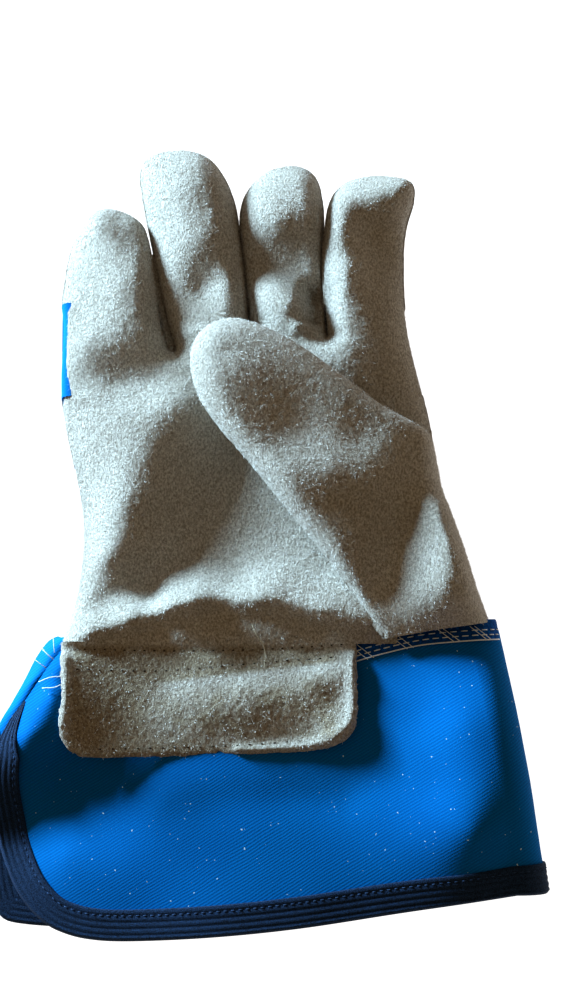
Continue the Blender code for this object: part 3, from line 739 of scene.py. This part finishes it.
def make_lining():
    """The cotton inside the palm, under its leather."""
    loop = smooth_path([(-65, -44, 0, 0), (-62, -10, 0, 0), (-65, 20, 0, 0), (-66, 48, 0, 0), (-30, 51, 0, 0),
                        (10, 51, 0, 0), (36, 50, 0, 0), (42, 20, 0, 0), (36, -20, 0, 0), (32, -45, 0, 0),
                        (-20, -46, 0, 0)], 1.5, closed=True)
    xy, faces = flat_sheet(loop, 2.6)
    z = hand_height(xy) - LEATHER - 1.0
    edge = np.min(np.linalg.norm(xy[:, None] - loop[None, ::2, :2], axis=2), axis=1)
    points = np.c_[xy, z - 1.6 * np.clip(1 - edge / 8, 0, 1) ** 2]
    faces = turned(xy, faces, True)
    add_piece("palm_cotton", points, normals_of(points, faces), faces, LINING, "lining", ["palm_lining"], "hand",
              thickness=0.8)


BACK_LEVEL = 1.8  # height of the glove's back over the floor
LITTLE_OUTER = [(-77.2, 38.1, 11, 12), (-77.7, 54.6, 11, 12), (-77.9, 71.3, 11, 12)] + LITTLE[4:]
PALM_OUTER = PALM_LEFT[:-1] + [(-76.6, 33.0, 10, 12)]
STRAP = (12, 38)  # the knuckle strap lies between these


def make_back():
    loop = outline([PALM_OUTER, LITTLE_OUTER, RING, MIDDLE, INDEX, INDEX_SIDE], [])
    points, faces = subdivided(*rolled_sheet(loop, lambda xy: np.full(len(xy), BACK_LEVEL), GRID * 1.7, up=False))
    normals = normals_of(points, faces)
    for part, mine, finger in split_hand(points, faces):
        if part == "hand":
            add_piece("back_cloth", points, normals, mine, TWILL, "twill", ["back_panel"], "hand", thickness=CLOTH)
            raised = points + normals * (0.3 + 1.4 * np.clip((8.0 - points[:, 2]) / 4.0, 0, 1))[:, None]
            y = raised[mine].mean(1)[:, 1]
            band = mine[(y > STRAP[0]) & (y < STRAP[1])]
            strap, _ = napped(raised, faces, 0.7)
            add_piece("knuckle_strap_leather", strap, normals, band, SUEDE, "leather", ["knuckle_strap"], "hand")
        elif part == "root":
            look, slot = (SUEDE, "leather") if finger == "index" else (TWILL, "twill")
            add_piece(f"{finger}_back_skin", points, normals, mine, look, slot, [f"{finger}_back"],
                      root_turn(finger), thickness=CLOTH)
        else:
            cap, _ = napped(points + normals * 0.5, faces, 0.7)
            add_piece(f"{finger}_tip_leather", cap, normals, mine, SUEDE, "leather", [f"{finger}_tip_cap"],
                      tip_turn(finger))


def grid_sheet(grid, outward):
    """Points, normals and faces of a grid of points, with its outer side turned outward."""
    points = grid.reshape(-1, 3)
    faces = grid_faces(*grid.shape[:2])
    normals = normals_of(points, faces)
    if (normals @ np.array(outward, float)).mean() < 0:
        faces, normals = faces[:, ::-1], -normals
    return points, normals, faces


def make_little_side():
    """The twill back shows past the leather along the little finger's base."""
    path = smooth_path([(-74.6, 36.2), (-74.9, 45.0), (-74.7, 54.0), (-74.7, 63.0), (-75.6, 70.0)], 1.5)
    profile = [(1.6, 17.2), (0.2, 17.0), (-1.1, 16.2), (-1.9, 14.8), (-2.4, 13.0), (-2.7, 11.0), (-2.8, 9.0),
               (-2.4, 7.0)]
    grid = np.array([[(x + dx, y, z) for dx, z in profile] for x, y in path])
    add_piece("little_side_cloth", *grid_sheet(grid, (-1, 0, 0)), TWILL, "twill", [], root_turn("little"),
              thickness=0.7)


def make_gussets():
    """Strips of split leather between the fingers, low in each gap."""
    strips = (("little", 91, 2.4, 13.0), ("ring", 84, 1.6, 9.0), ("middle", 82, 1.6, 9.0))
    for slit, (finger, far, half, level) in zip(SLITS, strips):
        y = np.arange(52.0, far, 1.5)
        x = np.interp(y, *np.array(slit, float).T)
        grid = np.array([[(cx + half * t, cy, level - 2.0 * abs(t)) for t in (-1, -0.5, 0, 0.5, 1)]
                         for cx, cy in zip(x, y)])
        add_piece(f"{finger}_gusset", *grid_sheet(grid, (0, 0, 1)), SUEDE, "leather", [], root_turn(finger),
                  thickness=1.0)


def thumb_height(xy):
    return sculpted(xy, THUMB_POSTS, [])


THUMB_FOLD = ((50.5, 23.0), (34.5, -47.0))


def thumb_turn():
    """The bodies on either side of the thumb's fold, and the ends of a strip across it."""
    far, near = np.array(THUMB_FOLD)
    along = unit(far - near)
    inward = np.array([-along[1], along[0]])
    middle = (far + near) / 2
    a, b = middle - inward * 2.0, middle + inward * 7.0
    return "hand", "thumb", at(*a), at(*b)


def make_thumb():
    loop = np.concatenate([smooth_path(THUMB_EDGE + THUMB_SIDE, 1.0)[:-1], smooth_path(THUMB_WRIST, 1.0)[:-1]])
    add_piece("thumb_outer_skin", *skin(loop, thumb_height, GRID), SUEDE, "leather", ["thumb_outer", "thumb_base"],
              thumb_turn(), fibres=FUZZ)
    edge = smooth_path(THUMB_EDGE, 1.0)
    fold = smooth_path([(*edge[-1][:2], 0, 0), (46.5, 8.0, 0, 0), (41.0, -16.0, 0, 0), (36.0, -38.0, 0, 0),
                        (*edge[0][:2], 0, 0)], 1.0)[1:-1]

    def under(xy):
        return np.minimum(25.0, hand_height(xy) + 2.0)

    inner = skin(np.concatenate([edge, fold]), under, GRID * 1.6, up=False, nap=0.8)
    add_piece("thumb_inner_skin", *inner, SUEDE, "leather", ["thumb_inner"], thumb_turn(), thickness=1.0)


# --- tab ----------------------------------------------------------------------------------------
TAB = [
    (-73.4, -49.5), (-73.0, -58.0), (-72.0, -67.0), (-73.0, -75.4), (-71.6, -81.8), (-67.6, -85.6), (-60.2, -86.9),
    (-26.2, -86.3), (6.1, -85.0), (17.5, -83.1), (23.0, -79.6), (24.9, -73.1), (25.3, -63.5), (25.0, -49.5),
]
TAB_POSTS = [
    (-73, -49, 20.2), (-45, -51, 18.4), (-20, -50, 18.6), (5, -50, 19.2), (25, -50, 20.4), (-72, -56, 22.6),
    (-60, -56, 19.6), (-45, -56, 18.0), (-15, -55, 18.0), (8, -54, 18.8), (24, -52.5, 20.8), (-72, -64, 23.6),
    (-60, -63, 20.8), (-46, -64, 18.8), (-38, -62, 18.2), (-12, -59, 18.3), (10, -57, 19.2), (-34, -66, 19.8),
    (-12, -62.6, 20.6), (10, -60.4, 21.6), (20, -58, 22.2), (-66, -72, 22.6), (-50, -73, 19.8), (-36, -74, 19.8),
    (-22, -70, 21.2), (-8, -69, 21.6), (8, -68, 21.4), (19, -67, 21.2), (-66, -82, 21.0), (-40, -82, 19.4),
    (-20, -80, 19.8), (0, -79, 19.8), (12, -77, 20.6), (18, -76, 22.4),
]
TAB_STROKES = [([(23.6, -54), (23.6, -66), (22.4, -75), (15.5, -80.8), (4, -83.4), (-14, -84.6)], 1.3, 1.7),
               ([(-71.5, -54), (-70.8, -60), (-70.6, -68), (-71, -76)], 0.8, 1.6)]


def tab_height(xy):
    """The tab's sheet runs on from the palm's."""
    share = np.clip((-49.5 - xy[:, 1]) / 5.0, 0, 1)
    share = share * share * (3 - 2 * share)
    return hand_height(xy) * (1 - share) + sculpted(xy, TAB_POSTS, TAB_STROKES) * share


def make_tab():
    side = smooth_path(TAB, 0.9)
    flat = np.c_[side, np.zeros(len(side))]
    rough = noise(flat, 2.2, 4) * 0.35 + noise(flat, 0.9, 6) * 0.3
    centre = np.array([-24, -67.0])
    side = side + unit(side - centre) * rough[:, None]
    side = side[side[:, 1] < -49.3]
    top = np.array([(25.0 - 98.4 * t, -49.0) for t in np.arange(0, 99) / 98])
    loop = np.concatenate([np.c_[side, np.zeros(len(side)), np.full(len(side), 1.1)],
                           np.c_[top, np.zeros((len(top), 2))]])
    loop[:, 2] = tab_height(loop[:, :2]) - 0.7
    add_piece("palm_tab_leather", *skin(loop, tab_height, 1.0), SHADED_TAB_SUEDE, "leather", ["palm_tab"], TAB_TURN,
              thickness=1.1, fibres=0.9)


# --- cuff ---------------------------------------------------------------------------------------
FRONT_EDGE = [
    (-72.5, -50.0), (-78.4, -58.6), (-84.2, -67.1), (-89.4, -74.9), (-93.2, -81.8), (-95.2, -89.5), (-95.5, -97.5),
    (-93.8, -108.8), (-91.6, -117.6), (-87.2, -127.2), (-82.7, -133.4), (-77.3, -138.4), (-71.7, -141.4),
    (-63.0, -143.6), (-50.0, -144.2), (-25.7, -142.8), (6.0, -139.5), (44.3, -133.9), (76.0, -129.6),
]
BACK_EDGE = [
    (-77.1, -46.8), (-80.2, -48.4), (-83.9, -53.7), (-87.5, -61.2), (-92.3, -70.0), (-96.3, -77.1), (-99.0, -87.0),
    (-99.6, -98.0), (-99.2, -114.7), (-97.6, -128.4), (-94.0, -137.8), (-86.0, -140.9), (-60.0, -142.0),
    (-20.0, -140.5), (20.0, -136.5), (50.0, -133.0), (76.0, -129.6),
]
CUFF_POSTS = [
    (-73, -49, 14.5), (-66, -49.5, 17), (-74, -58, 20.4), (-81, -65, 19.0), (-75, -68, 22.8), (-89.5, -77, 16.8),
    (-83, -80, 21.4), (-76, -77, 22.0), (-68, -70, 20.0), (-70, -60, 19.6), (-94, -86, 16.4), (-94.5, -95, 15.0),
    (-93, -106, 12.5), (-84, -91, 15.6), (-74, -91, 13.6), (-63, -91, 13.0), (-51, -89, 15.2), (-80, -104, 11.4),
    (-68, -103, 11.8), (-56, -102, 14.0), (-88, -112, 11), (-82, -128, 13.6), (-70, -118, 14.8), (-66, -136, 15.6),
    (-52, -120, 17.0), (-45, -136, 17.4), (-38, -100, 18.8), (-28, -112, 19.6), (-8, -98, 20.0), (-50, -50, 15.6),
    (-20, -50, 15.8), (10, -50, 16.6), (45, -48, 21), (62, -45, 21), (-50, -60, 15.4), (-10, -60, 15.8),
    (20, -58, 17.6), (48, -56, 23.8), (64, -56, 25.0), (-40, -72, 17.2), (-60, -80, 16.6), (-40, -83, 17.2),
    (0, -72, 18.6), (0, -83, 18.6), (30, -72, 20.4), (46, -74, 24.6), (59, -76, 30.4), (66, -92, 31.4),
    (30, -92, 20.2), (49, -96, 25.8), (61, -110, 30.0), (74, -116, 24.6), (16, -112, 20.8), (45, -120, 24.2),
    (66, -128, 22.8), (76, -128, 21), (10, -134, 22), (40, -131, 22.4), (-20, -138, 20.6),
]
CUFF_STROKES = [([(-34, -104), (-10, -101), (20, -100)], -0.5, 7)]
CUFF_BOTTOM = 1.2


def cuff_height(xy):
    return sculpted(xy, CUFF_POSTS, CUFF_STROKES)


def fold_x(y):
    return np.interp(-y, [40, 130], [73.2, 87.6])


def cuff_columns():
    """Border and wrist places of each column of the cuff's cloth: palm leaf, fold, then back leaf."""
    front = smooth_path(FRONT_EDGE, 1.6)
    back = smooth_path(BACK_EDGE, 1.6)
    share = np.linspace(0, 1, len(front))
    wrist_front = np.stack([-72.3 + share * (62.5 + 72.3), np.interp(share, [0, 0.7, 1], [-48.7, -49.6, -44.0])], 1)
    share = np.linspace(0, 1, len(back))
    wrist_back = np.stack([-76.2 + share * (62.5 + 76.2), -47.5 + share * 3.5], 1)
    return front, wrist_front, back, wrist_back


def cuff_surface():
    """The cuff's outer side: a column of points from each border place to the wrist."""
    front, wrist_front, back, wrist_back = cuff_columns()
    columns = []
    v = np.linspace(0, 1, 45)[:, None]
    for edge, wrist in zip(front, wrist_front):
        xy = edge + (wrist - edge) * v
        columns.append(np.c_[xy, cuff_height(xy)])
    steps = 16
    start_x, y = (front[-1][:2] + (wrist_front[-1] - front[-1][:2]) * v).T
    half = (cuff_height(np.c_[start_x, y]) - CUFF_BOTTOM) / 2
    for k in range(1, steps):
        turn = math.pi / 2 - math.pi * k / steps
        x = start_x + (fold_x(y) - start_x) * math.cos(turn)
        columns.append(np.stack([x, y, CUFF_BOTTOM + half + half * math.sin(turn)], 1))
    for edge, wrist in zip(back[::-1], wrist_back[::-1]):
        xy = edge + (wrist - edge) * v
        inward = np.linalg.norm(xy - edge, axis=1)
        curl = np.clip((edge[1] + 92) / 26, 0, 1) * (edge[0] < -70)
        rise = 6.5 * curl * np.sin(np.clip(inward / 11, 0, 1) * math.pi / 2)
        columns.append(np.c_[xy, CUFF_BOTTOM + 2.0 * curl + rise])
    return np.array(columns)


def grid_faces(columns, rows):
    """Quads between neighbours in a grid of points."""
    index = np.arange(columns * rows).reshape(columns, rows)
    a, b, c, d = index[:-1, :-1], index[:-1, 1:], index[1:, 1:], index[1:, :-1]
    return np.stack([a, b, c, d], -1).reshape(-1, 4)


def make_cuff():
    grid = cuff_surface()
    columns, rows = grid.shape[:2]
    points = grid.reshape(-1, 3)
    faces = grid_faces(columns, rows)
    normals = normals_of(points, faces)
    if normals[:rows].mean(0)[2] < 0:
        faces, normals = faces[:, ::-1], -normals
    points = points + normals * (0.25 * noise(points, 14, 2) + 0.05 * noise(points, 3, 8))[:, None]
    add_piece("cuff_cloth", points, normals, faces, TWILL, "twill", ["cuff_outer"], wrist_turn(), thickness=CLOTH)
    inner = points - normals * (CLOTH + BACKING_GAP)
    front_faces = len(cuff_columns()[0]) * rows
    backed = faces[(np.arange(len(faces)) < front_faces) | (points[faces].mean(1)[:, 0] > -66)]
    add_piece("cuff_backing", inner, normals, backed, BACKING, "backing", ["cuff_lining"], wrist_turn(),
              thickness=BACKING_THICKNESS)
    make_binding(grid, normals.reshape(columns, rows, 3))


BINDING = 9.0  # the tape's width on each side of the edge
TAPE_ENDS = (-68.0, -77.0)  # the tape starts below these, on the palm leaf and on the back leaf
TAPE_POINTS, RIBS = 30, 5  # across one side of the tape


def make_binding(grid, normals):
    """Ribbed tape folded over the cuff's free edges. Near the wrist the edge curls under, so little of it shows."""
    border, inner = grid[:, 0], grid[:, 1]
    count = len(border)
    normal = normals[:, 0]
    off = unit(np.cross(normal, unit(np.gradient(border, axis=0))))
    for k in range(1, count):
        if off[k] @ off[k - 1] < 0:
            off[k] *= -1
    if ((border - inner) * off).sum() < 0:
        off *= -1
    low = np.where(np.arange(count) < len(cuff_columns()[0]), *TAPE_ENDS)
    width = 0.3 + (BINDING - 0.3) * np.clip((low - border[:, 1]) / 17.0, 0, 1)
    taped = np.flatnonzero(border[:, 1] < low)
    layers = CLOTH + BACKING_GAP + BACKING_THICKNESS
    share = np.arange(TAPE_POINTS + 1) / TAPE_POINTS
    rib = np.abs(np.sin(math.pi * RIBS * share))
    rings = []
    for k in range(taped[0], taped[-1] + 1):
        def spot(e, lift):
            return border[k] + off[k] * e + normal[k] * lift

        slim = max(0.08, min(1.0, width[k] / 4))
        outward = -width[k] + (width[k] + 0.1 + 0.8 * slim) * share
        last = np.clip(share * TAPE_POINTS - TAPE_POINTS + 3, 0, 3) * slim
        over = [spot(e, slim * 0.62 + 0.22 * slim * r - 0.25 * d) for e, r, d in zip(outward, rib, last)]
        under = [spot(e, -layers - slim * 0.35 - 0.15 * slim * r + 0.2 * d)
                 for e, r, d in zip(outward[::-1], rib[::-1], last[::-1])]
        within = np.linspace(-width[k], 0.2 * slim, TAPE_POINTS + 1)
        below = [spot(e, -layers - 0.05 * slim) for e in within]
        above = [spot(e, 0.06 * slim) for e in within[::-1]]
        rings.append(over + under + below + [spot(0.2 * slim, -layers / 2)] + above)
    rings = np.array(rings)
    count, size = rings.shape[:2]
    index = np.arange(count * size).reshape(count, size)
    a, b = index[:-1], index[1:]
    quads = np.stack([a, np.roll(a, -1, 1), np.roll(b, -1, 1), b], -1).reshape(-1, 4).tolist()
    quads += [index[0][::-1].tolist(), index[-1].tolist()]
    obj = new_object("cuff_binding_tape", to_mesh("cuff_binding_tape", rings.reshape(-1, 3), quads), TAPE)
    finish_piece(obj, "cuff", "tape", ["cuff_binding"])
    line = border + off * (1.9 - width)[:, None] + normal * 0.80
    stitches("binding_stitches", line, 2.4, 1.1, 0.16, TAPE_THREAD, "cuff", ["binding_thread"], width > 6)


# --- stitches and threads -----------------------------------------------------------------------
def tube(path, radius, sides=6):
    """Points and faces of a closed round cord along a path."""
    path = np.array(path, float)
    tangent = unit(np.gradient(path, axis=0))
    side = unit(np.cross(tangent, [0.0, 0.0, 1.0]))
    up = np.cross(side, tangent)
    turn = np.arange(sides) * 2 * math.pi / sides
    rings = (path[:, None] + radius * (side[:, None] * np.cos(turn)[None, :, None]
                                       + up[:, None] * np.sin(turn)[None, :, None]))
    count = len(path)
    index = np.arange(count * sides).reshape(count, sides)
    a, b = index[:-1], index[1:]
    faces = np.stack([a, b, np.roll(b, -1, 1), np.roll(a, -1, 1)], -1).reshape(-1, 4).tolist()
    return rings.reshape(-1, 3), faces + [index[0].tolist(), index[-1][::-1].tolist()]


def cords(name, paths, radius, material, motion, replaces=(), slot="thread"):
    """One piece of round cords, one along each path."""
    points, faces, first = [], [], 0
    for path in paths:
        p, f = tube(path, radius)
        points.append(p)
        faces += [[i + first for i in face] for face in f]
        first += len(p)
    obj = new_object(name, to_mesh(name, np.concatenate(points), faces), material)
    finish_piece(obj, motion, slot, replaces)


def stitches(name, line, pitch, length, radius, material, motion, replaces=(), keep=None):
    """A running stitch: short arched lengths of thread along a line, where keep says so."""
    steps = np.linalg.norm(np.diff(line, axis=0), axis=1)
    places = np.r_[0, np.cumsum(steps)]
    paths = []
    for start in np.arange(0.3, places[-1] - length, pitch):
        if keep is not None and not keep[min(np.searchsorted(places, start), len(keep) - 1)]:
            continue
        t = np.linspace(start, start + length, 5)
        path = np.stack([np.interp(t, places, line[:, c]) for c in range(3)], 1)
        path[:, 2] += radius * np.array([-1.3, 0.1, 0.5, 0.1, -1.3])
        paths.append(path)
    cords(name, paths, radius, material, motion, replaces)


def on(height, xy, lift):
    """A path laid on a surface, lifted off it a little."""
    xy = np.array(xy, float)[:, :2]
    return np.c_[xy, height(xy) + lift]


def cuff_top(xy):
    """Height of the cuff's upper surface, round its fold as well."""
    xy = np.asarray(xy, float)
    start = np.interp(-xy[:, 1], [44, 129.6], [62.5, 76])
    end = fold_x(xy[:, 1])
    top = cuff_height(np.c_[np.minimum(xy[:, 0], start), xy[:, 1]])
    share = np.clip((xy[:, 0] - start) / (end - start), 0, 1)
    half = (top - CUFF_BOTTOM) / 2
    return CUFF_BOTTOM + half + half * np.sqrt(1 - share**2)


WRIST_LINE = [(24.5, -55.6), (34, -53.0), (45.9, -50.4), (58, -49.2), (69.5, -48.4), (73.4, -48.0)]


def make_wrist_seam():
    """The strip between the palm's leather and the cuff, dark with painted shade, with its white stitches and overlock
    threads.
    """
    low = smooth_path(WRIST_LINE, 1.0)
    flat = np.array([(x, y + rise) for x, y in low for rise in range(8)])
    grid = on(cuff_top, flat, 0.45).reshape(len(low), 8, 3)
    turn = wrist_turn()
    add_piece("wrist_strip", *grid_sheet(grid, (0, 0, 1)), SHADED_STRIP, "twill", [], turn, thickness=0.6)
    cords("wrist_edge_thread", [on(cuff_top, low, 0.62)], 0.24, THREAD, turn, ["wrist_thread"])
    for k, (rise, pitch) in enumerate([(1.7, 3.3), (3.4, 3.6)]):
        stitches(f"wrist_stitches_{k}", on(cuff_top, low + [0, rise], 0.75), pitch, 2.1, 0.20, THREAD, turn)
    loops = []
    for x in (26.5, 28.5, 39.5, 41.5, 55.0, 57.0, 66.0, 67.6):
        y = np.interp(x, low[:, 0], low[:, 1])
        loops.append(on(cuff_top, np.linspace([x - 3.2, y + 4.6], [x + 2.4, y + 0.1], 7), 0.95))
    cords("wrist_overlock", loops, 0.15, THREAD, turn)
    left = []
    for ends, z in ((((-81.8, -50.0), (-78.6, -53.6)), 11.5), (((-84.2, -54.0), (-79.4, -57.4)), 12.5),
                    (((-80.6, -51.4), (-76.6, -54.8)), 13.0), (((-79.8, -62.4), (-75.8, -60.9), (-71.4, -60.6)), 22.8),
                    (((-76.8, -46.6), (-76.2, -52.4)), 15.5), (((-78.6, -64.4), (-74.6, -64.2), (-72.4, -63.2)), 22.9)):
        path = smooth_path([(*e, 0) for e in ends], 0.6)[:, :2]
        left.append(np.c_[path, z + 0.5 * np.sin(np.linspace(0, math.pi, len(path)))])
    cords("cuff_corner_threads", left, 0.15, THREAD, turn)


def make_loose_fibre():
    """One long fibre that lies over the tab's upper edge."""
    line = smooth_path([(-9.6, -43.6, 0.9), (-8.4, -46.4, 1.5), (-5.8, -50.6, 1.7), (-5.2, -54.0, 1.2),
                        (-5.6, -57.2, 0.5)], 0.7)
    cords("loose_fibre", [on(tab_height, line, line[:, 2])], 0.11, HAIR, TAB_TURN, slot="leather")


def make_tab_stitches():
    """Rows of needle holes that the tab's own thread has pulled in, drawn as dark marks: painted shade in the holes."""
    rows = [[(-66, -51.5), (-30, -52.0), (0, -51.2), (23, -49.8)],
            [(-68, -58.2), (-40, -58.6), (-10, -56.2), (18, -54.2)],
            [(-60, -84.2), (-30, -83.6), (-8, -82.6), (10, -81.2)]]
    for k, row in enumerate(rows):
        line = on(tab_height, smooth_path(row, 1.0), -0.06)
        stitches(f"tab_holes_{k}", line, 3.3 + 0.4 * k, 0.7, 0.24, HOLE_SHADE, TAB_TURN, ["tab_thread"] if k == 0 else ())


# --- camera, light and floor --------------------------------------------------------------------
VIEW_DISTANCE = 0.430
ELEVATION = math.radians(80)
LENS = 44.87
WINDOW_AZIMUTH = math.radians(145)
WINDOW_RISE = math.radians(9.5)
WINDOW_DISTANCE = 0.9
WINDOW_COLOUR = (0.54, 0.80, 1.0)
ROOM_COLOUR = (1.0, 0.77, 0.51, 1)
FLOOR_HALF = 3.0
FLOOR_DROP = -0.0004


def make_camera():
    data = bpy.data.cameras.new("camera")
    data.lens = LENS
    data.clip_start = 0.01
    camera = bpy.data.objects.new("camera", data)
    bpy.context.scene.collection.objects.link(camera)
    target = Vector(at(0, 0, 14))
    back = Vector((0, -math.cos(ELEVATION), math.sin(ELEVATION)))
    camera.location = target + back * VIEW_DISTANCE
    camera.rotation_euler = back.to_track_quat("Z", "Y").to_euler()
    bpy.context.scene.camera = camera


def make_window():
    """The one light: a low, cool window."""
    data = bpy.data.lights.new("window", "AREA")
    data.size = 0.20
    data.energy = 33.0
    data.color = WINDOW_COLOUR
    light = bpy.data.objects.new("window", data)
    flat = math.cos(WINDOW_RISE) * WINDOW_DISTANCE
    place = Vector((math.cos(WINDOW_AZIMUTH) * flat, math.sin(WINDOW_AZIMUTH) * flat,
                    math.sin(WINDOW_RISE) * WINDOW_DISTANCE))
    light.location = place
    light.rotation_euler = place.to_track_quat("Z", "Y").to_euler()
    bpy.context.scene.collection.objects.link(light)


def make_studio():
    scene = bpy.context.scene
    scene.view_settings.view_transform = "Standard"
    scene.view_settings.look = "Medium High Contrast"
    world = bpy.data.worlds.new("studio")
    world.use_nodes = True
    background = world.node_tree.nodes["Background"]
    background.inputs["Color"].default_value = ROOM_COLOUR
    background.inputs["Strength"].default_value = 0.215
    scene.world = world
    make_window()
    n = Nodes("pale_floor")
    n.finish((0.30, 0.30, 0.30, 1), 0.9, Emission_Color=(1, 1, 1, 1), Emission_Strength=0.92)
    mesh = bpy.data.meshes.new("floor")
    corners = ((-1, -1), (1, -1), (1, 1), (-1, 1))
    mesh.from_pydata([(x * FLOOR_HALF, y * FLOOR_HALF, FLOOR_DROP) for x, y in corners], [], [(0, 1, 2, 3)])
    floor = bpy.data.objects.new("floor", mesh)
    floor.data.materials.append(n.material)
    scene.collection.objects.link(floor)


make_camera()
make_studio()
make_front()
make_lining()
make_back()
make_thumb()
make_tab()
make_tab_stitches()
make_loose_fibre()
make_cuff()
make_wrist_seam()
make_little_side()
make_gussets()

elastic = bpy.data.objects["back_elastic"]  # keeps its CAD shape
elastic.data.materials.clear()
elastic.data.materials.append(ELASTIC)
